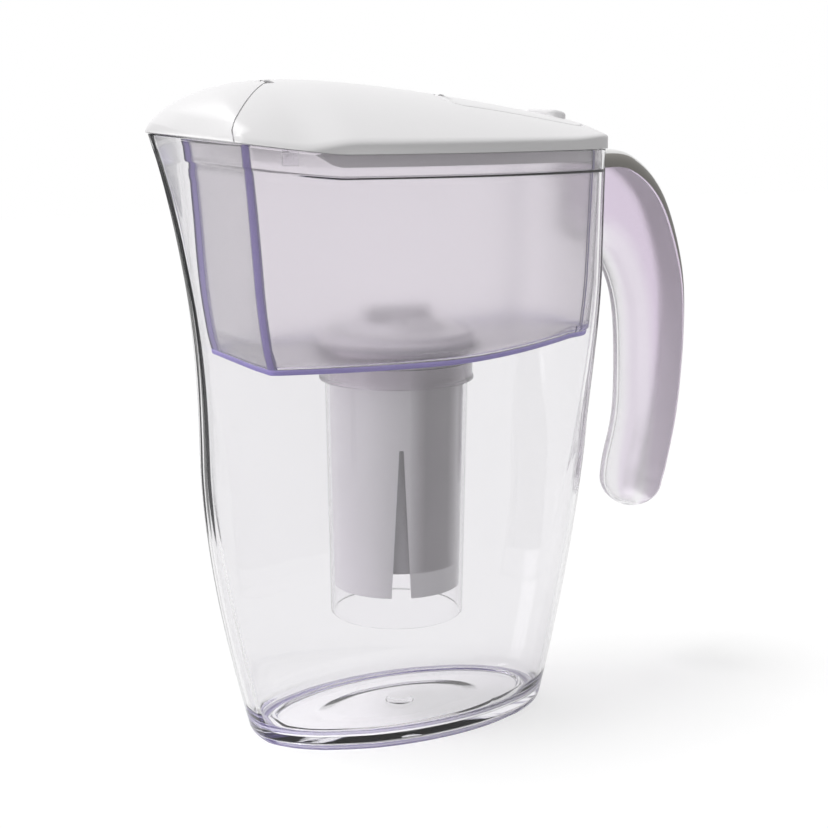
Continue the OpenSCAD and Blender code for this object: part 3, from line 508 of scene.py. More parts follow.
def buildReservoir():
    v = reservoirValues
    low, rim = pitcher["rimHeight"] - v["depth"], pitcher["rimHeight"] - 0.4
    ledge = pitcher["rimHeight"] - pitcher["ledgeDepth"]
    top = pitcher["rimWall"]
    rimWall = v["wall"] - 0.6
    rings = []

    def wallRing(z, extra, body=pitcher["wall"], at=None):
        rings.append(raised(reservoirRing(z if at is None else at, extra, body), z))

    def floorRing(extra, dz):
        line = reservoirRing(low, extra, pitcher["wall"])
        rings.append(np.c_[line, low + floorLift(line[:, 0]) + dz])

    def axisRing(r, z, angles):
        rings.append(circle(len(angles), r, z, angles, v["axisX"]))

    for extra, dz in [(0.02, 1.3), (0.0, 2.2)]:
        floorRing(extra, dz)
    for z in np.linspace(low + v["rise"] + 3, ledge - 2.5, v["levels"]):
        wallRing(z, 0)
    for extra, z, body in [(0, ledge - 1.2, pitcher["wall"]), (0, ledge - 0.2, pitcher["wall"]),
                           (0, ledge + 0.3, pitcher["wall"] - 0.25),
                           (0, ledge + 0.7, top + 0.25), (0, ledge + 1.2, top), (0, ledge + 4, top),
                           (0, rim - 0.4, top),
                           (0.12, rim - 0.1, top), (0.4, rim, top), (rimWall - 0.4, rim, top),
                           (rimWall - 0.1, rim - 0.1, top),
                           (rimWall, rim - 0.4, top), (rimWall, ledge + 4, top), (rimWall, ledge + 1.4, top)]:
        wallRing(z, extra, body, max(z, ledge + 0.2) if z > ledge else z)
    for z in np.linspace(ledge - 0.6, low + v["rise"] + 5, v["levels"]):
        wallRing(z, v["wall"])
    for extra, dz in [(v["wall"], 5.0), (v["wall"] + 0.15, 3.6), (v["wall"] + 0.7, 2.7),
                      (v["wall"] + 1.6, 2.15), (v["wall"] + 2.6, 2.0)]:
        floorRing(extra, dz)
    n = len(rings[-1])
    angles = ringAngles(rings[-1][:, :2] - (v["axisX"], 0))
    seat, neck = low + v["seatUp"], low - v["neckLength"]
    boss = v["flangeRadius"] + 1.6
    line = circle(n, boss + 0.5, 0, angles, v["axisX"])
    floorTop = low + floorLift(line[:, 0]) + 2
    for r, lower in [(boss + 0.5, None), (boss, None), (boss - 0.05, 0.35), (boss - 0.4, 0.0),
                     (boss - 1.0, 0.0), (boss - 1.3, 0.0)]:
        c = circle(n, r, 0, angles, v["axisX"])
        if lower is None:
            c[:, 2] = floorTop
        elif r > boss - 1.2:
            c[:, 2] = np.maximum(floorTop, seat - lower)
        else:
            c[:, 2] = seat
        rings.append(c)
    bore, lip, wall = v["boreRadius"], v["lipRadius"], v["neckWall"]
    for r, z in [(lip + 0.4, seat), (lip, seat - 0.4), (lip, low - v["lipHeight"]),
                 (bore - 0.1, low - v["lipHeight"]),
                 (bore, low - v["lipHeight"] - 0.1), (bore, neck + 0.4), (bore + 0.3, neck),
                 (bore + wall + 0.2, neck),
                 (bore + wall + 0.5, neck + 0.3), (bore + wall + 0.5, neck + 1.3),
                 (bore + wall + 0.2, neck + 1.6),
                 (bore + wall, neck + 1.8), (bore + wall, low - 1.0)]:
        axisRing(r, z, angles)
    for r, dz in [(bore + wall + 0.25, -0.15), (bore + wall + 1.0, 0.0)]:
        c = circle(n, r, 0, angles, v["axisX"])
        c[:, 2] = low + floorLift(c[:, 0]) + dz
        rings.append(c)
    for extra, dz in [(3.0, 0.0), (1.2, 0.0), (0.6, 0.12), (0.2, 0.5)]:
        floorRing(extra, dz)
    verts, faces = loft(rings, closed=True)
    funnel = makePiece("reservoirShell", verts, facingOut(verts, faces))
    # painted shade: dark bands along the reservoir's front and rear corners, wider on the far front corner
    outline = reservoirRing(200, 0, pitcher["wall"])
    bend = corner["sternPoints"] + corner["sidePoints"] + 7 + 2
    stern = corner["sternPoints"] + 3
    front = alongRing(outline, [bend, n - bend])
    onPanel = np.abs(outline[:, 0] - outline[bend, 0]) < 1.2
    front = np.where(onPanel & (outline[:, 1] > 0), front / v["farLine"],
                     np.where(onPanel, front / v["nearLine"], front / v["sideLine"]))
    front = np.where(outline[:, 1] < 0, 0.5 + 0.6 * front, front)
    rear = alongRing(outline, [stern, n - stern]) / v["rearLine"]
    x, y, z = np.array(verts).T
    onWall = (z > low + 0.2) & (np.hypot(x - v["axisX"], y) > v["flangeRadius"] + 3)
    mark(funnel, "corner", np.where(onWall, np.tile(np.minimum(front, rear), len(rings)), 9.0))
    # painted shade: a band along the bottom edge of the reservoir's wall
    edge = np.array(reservoirRing(low, 0, pitcher["wall"]))
    foot = np.full(len(verts), 9.0)
    for k, ring in enumerate(rings):
        gap = np.abs(np.array(ring)[:, :2] - edge).max(1)
        up = np.array(ring)[:, 2] - low - floorLift(np.array(ring)[:, 0])
        foot[k * n:(k + 1) * n] = np.where(gap < 4,
                                           np.maximum(np.abs(up - 0.7) - 0.5, 0) + np.maximum(gap - 1.0, 0),
                                           9.0) / v["footLine"]
    mark(funnel, "foot", foot)
    return funnel


def mark(piece, name, values):
    # a number at each point, for the material: 0 on a crease and 1 where its tint ends; on the jug and the
    # reservoir that tint is painted shade
    layer = piece.data.attributes.new(name, "FLOAT", "POINT")
    layer.data.foreach_set("value", np.minimum(values, 20).astype(np.float32))
    return piece


def alongRing(ring, starts):
    # for each point of a closed outline, the distance round it to the nearest start point
    step = np.linalg.norm(np.roll(ring, -1, 0) - ring, axis=1)
    run = np.r_[0, np.cumsum(step)]
    gaps = np.abs(run[:-1, None] - run[list(starts)][None, :])
    return np.minimum(gaps, run[-1] - gaps).min(1)


lidValues = {"rise": 28.5, "peak": 47.0, "fall": 18.3, "band": 5.0, "skin": 1.8, "overhang": 0.8, "skirt": 4.8,
             "skirtWall": 1.6, "seat": 2.2, "seatWidth": 3.0, "gap": 0.5, "edgeRound": 1.7, "domeRings": 40}
flapValues = {"front": 12.0, "rear": 79.0, "width": 46.0, "corner": 7.0, "skin": 1.8, "tabHeight": 2.4,
              "barrel": 2.0, "knuckle": 7.0, "cheek": 3.2, "edgeRound": 0.5}
coverValues = {"ridgeX": 59.0, "ridgeHalf": 4.5, "seamX": 85.5, "seamY": 30.0, "knuckle": 3.0, "edgeRound": 0.4}
turnRadius = flapValues["barrel"] + 0.3


def ridge(x):
    rim, v = pitcher["rimHeight"], lidValues
    x = np.asarray(x, float)
    front = clamp((-v["peak"] - x) / (pitcher["spoutX"] + v["overhang"] - v["peak"]))
    tip = rim + pitcher["spoutRise"]
    ahead = tip + (rim + v["rise"] - tip) * np.maximum(0, 1 - front ** 2.6) ** 0.7
    back = clamp((x + v["peak"]) / (pitcher["sternX"] + v["overhang"] + v["peak"]))
    behind = rim + v["rise"] - v["fall"] * back ** 1.5 \
        - (v["rise"] - v["fall"] - v["band"] - 1) * ease((x - pitcher["sternX"] + 11) / 12)
    return np.where(x < -v["peak"], ahead, behind)


def edgeHeight(x):
    x = np.asarray(x, float)
    band = (lidValues["band"] - 1) * ease((x + 64) / 22)
    return pitcher["rimHeight"] + rimLift(x) + 1 + band + ease((x - 60) / 25)


def lidHalfWidth(x):
    out = lidValues["overhang"]
    rear, front = pitcher["sternX"] - pitcher["sternBulge"], pitcher["spoutLength"] - pitcher["spoutX"]
    stern = pitcher["sternWidth"] / 2 * (1 - clamp((x - rear) / (pitcher["sternBulge"] + out)) ** 1.5) ** 0.25
    bow = pitcher["shoulderWidth"] / 2 * clamp((x + pitcher["spoutX"] + out) / (pitcher["spoutLength"] + out))
    return out + np.where(x > rear, stern, np.where(x > front, sideY(pitcher["rimHeight"], x), bow))


def lidHeight(x, y):
    x, y = np.asarray(x, float), np.asarray(y, float)
    v = clamp(np.abs(y) / np.maximum(0.3, lidHalfWidth(x)))
    e = edgeHeight(x)
    return e + np.maximum(0, ridge(x) - e) * (1 - v ** 1.9)


def onLid(outline, drop):
    return np.c_[outline, lidHeight(outline[:, 0], outline[:, 1]) - drop]


def domeRings(drop, low, rings, edge):
    # from the lid's lower edge up its side and over to the middle
    line = jugOutline(pitcher["rimHeight"], drop - lidValues["overhang"])
    foot = pitcher["rimHeight"] + rimLift(line[:, 0]) + 0.3 - low
    side = np.maximum(lidHeight(line[:, 0], line[:, 1]) - drop - 0.62 * edge - 0.5, foot + 0.15)
    out = [np.c_[line, foot], np.c_[line, side]]
    for t in (0.0, 0.12, 0.3, 0.55, 0.8, 1.0):
        ring = jugOutline(pitcher["rimHeight"], drop - lidValues["overhang"] + edge * t)
        up = lidHeight(ring[:, 0], ring[:, 1]) - drop - 0.62 * edge * (1 - math.sqrt(1 - (1 - t) ** 2))
        out.append(np.c_[ring, np.maximum(up, side + 0.02 + 0.02 * t)])
    for s in np.linspace(0.945, 0.02, rings):
        out.append(onLid(line * s, drop))
    return out


def shellPiece(name, outer, inner, rings, edge=1.7):
    up = domeRings(outer, 0, rings, edge)
    down = domeRings(inner, 0, rings, edge)[::-1]
    verts, faces = loft(down + up)
    return makePiece(name, verts, faces)


def tubeFaces(n):
    # two ends of n points and the quads between them
    ends = [tuple(range(n))[::-1], tuple(range(n, 2 * n))]
    return ends + [(i, (i + 1) % n, n + (i + 1) % n, n + i) for i in range(n)]


def prism(name, outline, low=None, high=None):
    low = pitcher["rimHeight"] - 20 if low is None else low
    high = pitcher["rimHeight"] + 60 if high is None else high
    n = len(outline)
    verts = np.vstack([np.c_[outline, np.full(n, low)], np.c_[outline, np.full(n, high)]])
    faces = tubeFaces(n)
    return makePiece(name, verts, faces, weighted=False)


def flapPlan(grow, cornerSteps=9, sideSteps=18):
    # a rectangle with round corners, grown by a distance, with points along its sides too
    v = flapValues
    r = v["corner"] + grow
    x0, x1, y = v["front"] - grow + r, v["rear"] + grow - r, v["width"] / 2 + grow - r
    out = []
    for k, (cx, cy) in enumerate([(x1, y), (x0, y), (x0, -y), (x1, -y)]):
        for a in np.linspace(90 * k, 90 * (k + 1), cornerSteps):
            out.append((cx + r * math.cos(math.radians(a)), cy + r * math.sin(math.radians(a))))
        nx, ny = [(x0, y), (x0, -y), (x1, -y), (x1, y)][k]
        a = math.radians(90 * (k + 1))
        end = np.array((nx + r * math.cos(a), ny + r * math.sin(a)))
        start = np.array(out[-1])
        for t in np.linspace(0, 1, sideSteps + 2)[1:-1]:
            out.append(tuple(start + (end - start) * t))
    return np.array(out)


def coverPlan(grow, far=150.0):
    v = coverValues
    x, y = v["seamX"], v["seamY"]
    line = [(-v["ridgeX"], v["ridgeHalf"]), (-x, y), (-x - 2.5, y + 14), (-far, y + 14),
            (-far, -y - 14), (-x - 2.5, -y - 14), (-x, -y), (-v["ridgeX"], -v["ridgeHalf"])]
    return inset(np.array(line, float), -grow)


def boxMesh(name, x0, x1, y0, y1, z0, z1):
    return prism(name, np.array([(x0, y0), (x1, y0), (x1, y1), (x0, y1)], float), z0, z1)


def rodMesh(name, x, z, r, y0, y1, sides=32):
    angles = np.linspace(0, 2 * math.pi, sides, endpoint=False)
    ends = [np.c_[x + r * np.cos(angles), np.full(sides, y), z + r * np.sin(angles)] for y in (y1, y0)]
    verts = np.vstack(ends)
    faces = tubeFaces(sides)
    return makePiece(name, verts, faces, weighted=False)


def join(name, pieces):
    # one object from several, each keeping its own closed surface
    bm = bmesh.new()
    for piece in pieces:
        bm.from_mesh(piece.data)
        bpy.data.objects.remove(piece)
    mesh = bpy.data.meshes.new(name)
    bm.to_mesh(mesh)
    bm.free()
    joined = bpy.data.objects.new(name, mesh)
    scene.collection.objects.link(joined)
    tidyNormals(joined)
    return joined


def hinge(x, knuckle):
    return x, float(lidHeight(x, 0.0)) - turnRadius, knuckle


flapHinge = hinge(flapValues["front"] + turnRadius, flapValues["knuckle"])
coverHinge = hinge(-coverValues["ridgeX"] - turnRadius, coverValues["knuckle"])


def cheekPieces(axis, back):
    x, z, half = axis
    out = []
    for side in (-1, 1):
        y0 = half + 0.3 if side > 0 else -half - 0.3 - flapValues["cheek"]
        y1 = y0 + flapValues["cheek"]
        out.append(rodMesh("cheekRound", x, z, flapValues["barrel"], y0, y1))
        out.append(boxMesh("cheekBlock", min(x, x + back), max(x, x + back), y0, y1, z - flapValues["barrel"],
                           z + 0.5))
    return out


def carveCheekRoom(piece, axis, back):
    x, z, half = axis
    for side in (-1, 1):
        y0 = half if side > 0 else -half - 0.6 - flapValues["cheek"]
        y1 = y0 + flapValues["cheek"] + 0.6
        carve(piece, rodMesh("room", x, z, turnRadius + 0.3, y0, y1))
        carve(piece, boxMesh("room", min(x, x + back), max(x, x + back), y0, y1, z - 8, z + 8))


def flapLip():
    # the rolled edge, rebate and seat round the fill opening, as one closed band
    v, gap = lidValues, lidValues["gap"]
    profile = [(gap, 0.55), (gap + 0.15, 0.16), (gap + 0.5, 0.0), (gap + 1.6, 0.02), (gap + 1.6, 3.8),
               (-v["seatWidth"], 3.8),
               (-v["seatWidth"] + 0.3, 2.3), (-v["seatWidth"] + 0.6, 2.2), (gap, 2.2)]
    rings = []
    for grow, drop in profile:
        outline = flapPlan(grow)
        if grow < 0:
            plain = flapPlan(gap - 0.1)
            noSeat = outline[:, 0] < flapHinge[0] + 5
            outline = np.where(noSeat[:, None], plain, outline)
        rings.append(onLid(outline, drop))
    verts, faces = loft(rings[::-1], closed=True)
    return makePiece("flapLip", verts, facingOut(verts, faces))


def rimRing():
    # the flange on the two rims and the skirt that drops into the reservoir
    rim, v = pitcher["rimHeight"], lidValues

    inner = pitcher["rimWall"] + 0.6 + 1.4 + 0.5
    wall = reservoirRing(rim, v["skin"] - v["overhang"] - 0.6, 0.0)
    skirt, back = reservoirRing(rim, inner - 0.6, 0.0), reservoirRing(rim, inner - 0.6 + v["skirtWall"], 0.0)

    def height(ring, dz):
        return np.c_[ring, rim + rimLift(ring[:, 0]) + dz]

    def low(ring, extra=0.0):
        return np.c_[ring, rim + rimLift(ring[:, 0]) - mix(0.2, v["skirt"] - extra,
                                                           ease((ring[:, 0] + 58) / 12))]

    rings = [height(wall, 0.15), height(wall, 1.8), height(back, 1.8), low(back, 0.3),
             low(inset(back, -0.3)), low(inset(skirt, 0.3)), low(skirt, 0.3), height(skirt, 0.15)]
    verts, faces = loft(rings, closed=True)
    return makePiece("rimRing", verts, facingOut(verts, faces))


def buildLid():
    v = lidValues
    gap = v["gap"]
    shell = shellPiece("lidShell", 0, v["skin"], v["domeRings"])
    carve(shell, prism("cut", flapPlan(gap + 0.7)))
    carve(shell, prism("cut", coverPlan(gap)))
    x, z, half = coverHinge
    reach = coverValues["ridgeHalf"] + 2 * turnRadius
    carve(shell, rodMesh("cut", x, z, turnRadius + 0.4, -reach, reach, 48))
    edge = shellPiece("coverEdge", 0.5, 4.1, 24)
    carve(edge, prism("keep", coverPlan(gap + 1.6)), "INTERSECT")
    carve(edge, prism("cut", coverPlan(gap)))
    carve(edge, rodMesh("cut", x, z, turnRadius + 0.4, -reach, reach, 48))
    seat = shellPiece("coverSeat", v["seat"], v["seat"] + 1.6, 24)
    carve(seat, prism("keep", coverPlan(gap + 0.8)), "INTERSECT")
    carve(seat, prism("cut", coverPlan(-2.2)))
    carve(seat, boxMesh("cut", coverHinge[0] - 4, 40, -60, 60, 200, 320))
    carve(seat, boxMesh("cut", -150, -coverValues["seamX"] + 2, -60, 60, 200, 320))
    cheeks = cheekPieces(flapHinge, -5) + cheekPieces(coverHinge, 6)
    return join("lidShell", [shell, edge, seat, flapLip(), rimRing()] + cheeks)


def flapSheet(name):
    # the flap's skin under the lid's surface, with a soft upper edge
    v = flapValues
    e, under = v["edgeRound"], v["skin"]
    centre = np.array(((v["front"] + v["rear"]) / 2, 0.0))
    scales = np.linspace(0.96, 0.02, 26)
    rings = [onLid(centre + (flapPlan(-0.2) - centre) * s, under) for s in scales[::-1]]
    rings += [onLid(flapPlan(-0.2), under), onLid(flapPlan(0), under - 0.2)]
    rings += [onLid(flapPlan(-e * (1 - math.cos(a))),
                    e * (1 - math.sin(a))) for a in np.radians([0, 25, 50, 70, 90])]
    rings += [onLid(centre + (flapPlan(-e) - centre) * s, 0) for s in scales]
    verts, faces = loft(rings)
    return makePiece(name, verts, faces)


def buildFlap():
    v = flapValues
    x, z, half = flapHinge
    sheet = carve(flapSheet("flap"), boxMesh("cut", 0, x, -40, 40, 200, 320))
    rear = carve(flapSheet("flapRear"), rodMesh("keep", x, z, turnRadius, -40, 40, 64), "INTERSECT")
    for part in (sheet, rear):
        carveCheekRoom(part, flapHinge, -6)
    knuckle = rodMesh("knuckle", x, z, v["barrel"], -half, half, 48)
    neck = boxMesh("neck", x, x + 3.5, -half, half, z - 0.6, z + turnRadius - 0.5)
    return join("fillFlap", [sheet, rear, knuckle, neck, thumbTab()])


def thumbTab():
    # a raised pad with soft edges for opening the flap
    v = flapValues
    tx = v["rear"] - 6.5
    rings = []
    angles = np.linspace(0, 2 * math.pi, 64, endpoint=False)
    for out, up in [(0.0, -1.2), (0.0, 0.9), (-0.12, 1.45), (-0.45, 1.95), (-1.0, 2.25),
                    (-1.8, v["tabHeight"]), (-2.8, v["tabHeight"] + 0.02)]:
        r = 4 + out
        ring = np.c_[tx + np.sign(np.cos(angles)) * 0.75 + r * np.cos(angles),
                     np.sign(np.sin(angles)) * 7 + r * np.sin(angles)]
        rings.append(np.c_[ring, lidHeight(ring[:, 0], ring[:, 1] * 0.0) + up])
    verts, faces = loft(rings)
    return makePiece("thumbTab", verts, faces)


def buildSpoutCover():
    x, z, half = coverHinge
    cover = shellPiece("spoutCover", 0, 1.8, 44)
    carve(cover, prism("keep", coverPlan(0)), "INTERSECT")
    carve(cover, boxMesh("cut", x, 60, -60, 60, 200, 320))
    rear = shellPiece("coverRear", 0, 12, 30)
    carve(rear, prism("keep", coverPlan(0)), "INTERSECT")
    carve(rear, rodMesh("keep", x, z, turnRadius, -36, 36, 48), "INTERSECT")
    for part in (cover, rear):
        carveCheekRoom(part, coverHinge, 7)
    knuckle = rodMesh("knuckle", x, z, flapValues["barrel"], -half, half)
    neck = boxMesh("neck", x - 3.5, x, -half, half, z - 0.6, z + turnRadius - 0.6)
    return join("spoutCover", [cover, rear, knuckle, neck])


handleValues = {"backX": 145.0, "thickness": 27.0, "width": 24.0, "gripHeight": 165.0, "drop": 86.0,
                "root": 38.5,
                "wall": 2.2, "coverRoot": 8.0, "coverEnd": 2.0, "stations": 96, "sectionSteps": 20, "last": 7,
                "endRound": 13.0}


def hookPairs():
    v, stern = handleValues, pitcher["sternX"]
    top = pitcher["rimHeight"] - 0.8
    x, z, d, t = v["backX"], v["gripHeight"], v["drop"], v["thickness"]
    low = top - v["root"]
    end = z - d + 13
    s0, s1 = sternX(top) + 0.15, sternX(low) + 0.15
    return np.array([
        [s0 - 8, top + 0.3, s1 - 8, low + 4], [s0, top, s1, low],
        [mix(stern, x, 0.4), top - 2, mix(stern, x, 0.2), low - 5.5],
        [mix(stern, x, 0.74), mix(z, top, 0.76), mix(stern, x, 0.32), low - 14],
        [x - 2.3, mix(z, top, 0.35), x - t - 4.4, z + 13], [x, z - 3, x - t - 1.6, z - 7],
        [x - 2.4, z - 0.45 * d, x - t - 1.2, z - 0.47 * d], [x - 7.5, end + 8, x - t - 6, end + 9.5],
        [x - 10.2, end - 1, x - t - 7, end + 1], [x - 12.8, end - 10, x - t - 8, end - 7.5]])


def hookPoint(u):
    pairs = hookPairs()
    i = min(int(u), handleValues["last"] - 1)
    t = u - i
    p = spline(*pairs[i:i + 4], t)
    return p[:2], p[2:]


def hookSection(u, t0, t1, half, dig=0.0, run=0.0, size=1.0, full=2.0):
    back, face = hookPoint(u)
    mid, thick = (back + face) / 2, np.linalg.norm(back - face)
    along = (back - face) / thick
    forward = np.array((along[1], -along[0]))
    reach = (thick / 2 - dig) * size
    c = mid + forward * run
    w = np.linspace(0, 1, handleValues["sectionSteps"] + 1)
    ts = mix(t0, t1, 1 - np.cos(np.pi / 2 * w) if t0 < -0.99 else np.sin(np.pi / 2 * w))
    shape = np.maximum(0, 1 - np.abs(np.where(ts > full, 0, ts)) ** 5) ** 0.22
    y = (half - dig) * shape * size
    return np.c_[c[0] + along[0] * reach * ts, y, c[1] + along[1] * reach * ts]


def closedSection(side):
    other = side[::-1] * (1, -1, 1)
    return np.vstack([side, other[other[:, 1] < -0.001]])


def coverDepth(u):
    return mix(handleValues["coverRoot"], handleValues["coverEnd"], float(ease(u / 4.4)))


def hookThickness(u):
    back, face = hookPoint(u)
    return np.linalg.norm(back - face)


def splitAt(u, gap):
    return 1 - 2 * (coverDepth(u) - gap) / hookThickness(u)


def channelRing(u, run, size, isOpen):
    v, n = handleValues, handleValues["sectionSteps"]
    mouth = splitAt(u, -0.15)
    deep = hookThickness(u) / 2
    deepest = mouth * deep / (deep - v["wall"])
    out = hookSection(u, -1, mouth, v["width"] / 2, 0, run, size)
    hole = hookSection(u, -1, deepest, v["width"] / 2 - 1.6, v["wall"], run * (1 - v["wall"] / v["endRound"]),
                       size, 0)
    lip = out[n]
    inner = [hole[k] if isOpen else np.array((lip[0], lip[1] * (k + 1) / (n + 2), lip[2]))
             for k in range(n, -1, -1)]
    half = np.vstack([out, inner])
    mirror = half[1:2 * n + 1][::-1] * (1, -1, 1)
    return np.vstack([half, mirror])


def outwards(name, rings):
    verts, faces = loft(rings)
    piece = makePiece(name, verts, facingOut(verts, faces), weighted=False)
    tidyNormals(piece, 40)
    return piece


def buildChannel():
    last, step, reach = handleValues["last"], handleValues["last"] / 26, handleValues["endRound"]
    us = np.linspace(step, last, handleValues["stations"])
    rings = [channelRing(0, 0, 1, False), channelRing(step * 0.8, 0, 1, False)]
    rings += [channelRing(u, 0, 1, True) for u in us]
    rings += [channelRing(last, reach * math.sin(a), math.cos(a),
                          True) for a in np.radians(np.linspace(6, 54, 9))]
    rings += [channelRing(last, reach * math.sin(a), math.cos(a), False) for a in np.radians([62, 68, 74, 80])]
    channel = outwards("handleChannel", rings)
    # 0 beyond the line where the hollow starts, rising towards the face
    n = handleValues["sectionSteps"]
    across = np.r_[np.linspace(0, 1, n + 1), np.linspace(1, 0, n + 1), np.linspace(0, 1, n + 1)[1:],
                   np.linspace(1, 0, n + 1)[:-1]]
    across = np.r_[across, np.zeros(8)][:len(rings[0])]
    count = len(channel.data.vertices)
    values = np.zeros(count)
    values[:len(rings) * len(rings[0])] = np.tile(across, len(rings))
    down = np.zeros(count)
    down[:len(rings) * len(rings[0])] = np.repeat(ease((np.linspace(0, 1, len(rings)) - 0.45) / 0.5),
                                                  len(rings[0]))
    mark(channel, "corner", 2.2 - 2.5 * values + 0.7 * down)
    return channel


def shadeFlanks(piece, finish, least=0.72):
    # a darker copy of the finish on the faces that look sideways: painted shade
    piece.data.materials.append(finishes[finish])
    for face in piece.data.polygons:
        if abs(face.normal.y) > least:
            face.material_index = 1


def buildCover():
    last, reach, half = handleValues["last"], handleValues["endRound"], handleValues["width"] / 2
    stations = np.linspace(0, last, handleValues["stations"])
    rings = [closedSection(hookSection(u, splitAt(u, 0), 1, half)) for u in stations]
    rings += [closedSection(hookSection(last, splitAt(last, 0), 1, half, 0, reach * math.sin(a), math.cos(a)))
              for a in np.radians(np.linspace(6, 36, 6))]
    return outwards("handleCover", rings)


class Value:
    # a socket that ordinary arithmetic works on
    def __init__(self, finish, socket):
        self.finish, self.socket = finish, socket

    def maths(self, operation, *others):
        return self.finish.node("ShaderNodeMath", {"operation": operation}, [self, *others])

    def __add__(self, other):
        return self.maths("ADD", other)

    def __mul__(self, other):
        return self.maths("MULTIPLY", other)

    def __sub__(self, other):
        return self.maths("SUBTRACT", other)

    def __rsub__(self, other):
        return self.finish.node("ShaderNodeMath", {"operation": "SUBTRACT"}, [other, self])

    def __pow__(self, other):
        return self.maths("POWER", other)

    def clamped(self):
        return self.finish.node("ShaderNodeMath", {"operation": "ADD", "use_clamp": True}, [self, 0.0])

    def __truediv__(self, other):
        return self.maths("DIVIDE", other)

    __radd__ = __add__
    __rmul__ = __mul__


class Finish:
    # one material or world, with one method that adds a node
    def __init__(self, name, owner=None):
        self.owner = owner or bpy.data.materials.new(name)
        self.owner.use_nodes = True
        self.tree = self.owner.node_tree
        self.tree.nodes.clear()
        kind = "ShaderNodeOutputWorld" if owner else "ShaderNodeOutputMaterial"
        self.output = self.tree.nodes.new(kind)

    def node(self, kind, settings=None, values=None, output=0):
        made = self.tree.nodes.new(kind)
        for key, value in (settings or {}).items():
            if key == "stops":
                ramp = made.color_ramp
                while len(ramp.elements) < len(value):
                    ramp.elements.new(0.5)
                for element, (place, colour) in zip(ramp.elements, value):
                    element.position = place
                    element.color = colour if len(colour) == 4 else (*colour, 1)
            else:
                setattr(made, key, value)
        pairs = enumerate(values) if isinstance(values, list) else (values or {}).items()
        for key, value in pairs:
            self.feed(made.inputs[key], value)
        return Value(self, made.outputs[output])

    def feed(self, socket, value):
        if isinstance(value, Value):
            self.tree.links.new(value.socket, socket)
        elif value is not None:
            if socket.type == "RGBA" and len(value) == 3:
                value = (*value, 1)
            socket.default_value = value

    def end(self, shader, volume=None):
        self.feed(self.output.inputs["Surface"], shader)
        if volume:
            self.feed(self.output.inputs["Volume"], volume)
        return self.owner

    def place(self, scale=(1, 1, 1)):
        coords = self.node("ShaderNodeTexCoord", output=3)
        return self.node("ShaderNodeMapping", {}, {"Vector": coords, "Scale": scale})

    def noise(self, scale, detail=3.0, where=None, roughness=0.5):
        return self.node("ShaderNodeTexNoise", {},
                         {"Vector": where or self.place(), "Scale": scale, "Detail": detail,
                                                    "Roughness": roughness})

    def ray(self, name):
        return self.node("ShaderNodeLightPath", output=name)


class Pattern(Finish):
    # a geometry nodes tree with a named input for each size, in millimetres
    def __init__(self, name, sizes):
        self.tree = bpy.data.node_groups.new(name, "GeometryNodeTree")
        self.name, self.sizes = name, sizes
        sockets = self.tree.interface
        sockets.new_socket("Geometry", in_out="INPUT", socket_type="NodeSocketGeometry")
        for label, value in sizes.items():
            kind = "NodeSocketInt" if isinstance(value, int) else "NodeSocketFloat"
            sockets.new_socket(label, in_out="INPUT", socket_type=kind)
        sockets.new_socket("Geometry", in_out="OUTPUT", socket_type="NodeSocketGeometry")
        self.entry = self.tree.nodes.new("NodeGroupInput")
        self.output = self.tree.nodes.new("NodeGroupOutput")

    def size(self, label):
        value = Value(self, self.entry.outputs[label])
        return value if isinstance(self.sizes[label], int) else value * mm

    def angle(self, label):
        return Value(self, self.entry.outputs[label]) * (math.pi / 180)

    def part(self, vector, axis):
        return self.node("ShaderNodeSeparateXYZ", {}, [vector], axis)

    def vector(self, x=0.0, y=0.0, z=0.0):
        return self.node("ShaderNodeCombineXYZ", {}, [x, y, z])

    def tapered(self, depth, width, tip, height):
        # an upright block whose width runs from its foot to its tip
        block = self.node("GeometryNodeMeshCube", {}, {"Size": self.vector(depth, width, height)})
        where = self.node("GeometryNodeInputPosition")
        up = self.part(where, "Z") / height + 0.5
        narrow = up * (tip / width - 1) + 1
        placed = self.vector(self.part(where, "X"), self.part(where, "Y") * narrow, self.part(where, "Z"))
        return self.node("GeometryNodeSetPosition", {}, {"Geometry": block, "Position": placed})

    def ring(self, shape, count, radius, turn, middle, height):
        # copies of a shape on a circle, each one facing outwards
        way = self.node("GeometryNodeInputIndex") * (2 * math.pi) / count + turn
        x = self.node("ShaderNodeMath", {"operation": "COSINE"}, [way]) * radius + middle
        y = self.node("ShaderNodeMath", {"operation": "SINE"}, [way]) * radius
        points = self.node("GeometryNodePoints", {}, {"Count": count, "Position": self.vector(x, y, height)})
        return self.node("GeometryNodeInstanceOnPoints", {},
                         {"Points": points, "Instance": shape, "Rotation": self.vector(z=way)})

    def made(self, geometry, finish):
        whole = self.node("GeometryNodeRealizeInstances", {}, [geometry])
        self.feed(self.output.inputs[0], self.node("GeometryNodeSetMaterial", {},
                                                   {"Geometry": whole, "Material": finishes[finish]}))
        piece = bpy.data.objects.new(self.name, bpy.data.meshes.new(self.name))
        scene.collection.objects.link(piece)
        modifier = piece.modifiers.new(self.name, "NODES")
        modifier.node_group = self.tree
        for item in self.tree.interface.items_tree:
            if item.in_out == "INPUT" and item.name in self.sizes:
                modifier[item.identifier] = self.sizes[item.name]
        result = bpy.data.meshes.new_from_object(piece.evaluated_get(bpy.context.evaluated_depsgraph_get()))
        piece.modifiers.clear()
        piece.data = result
        return piece


def colour(r, g, b):
    # an sRGB colour in 0-255 as linear light
    return tuple((c / 255 / 12.92 if c <= 10 else ((c / 255 + 0.055) / 1.055) ** 2.4) for c in (r, g, b))


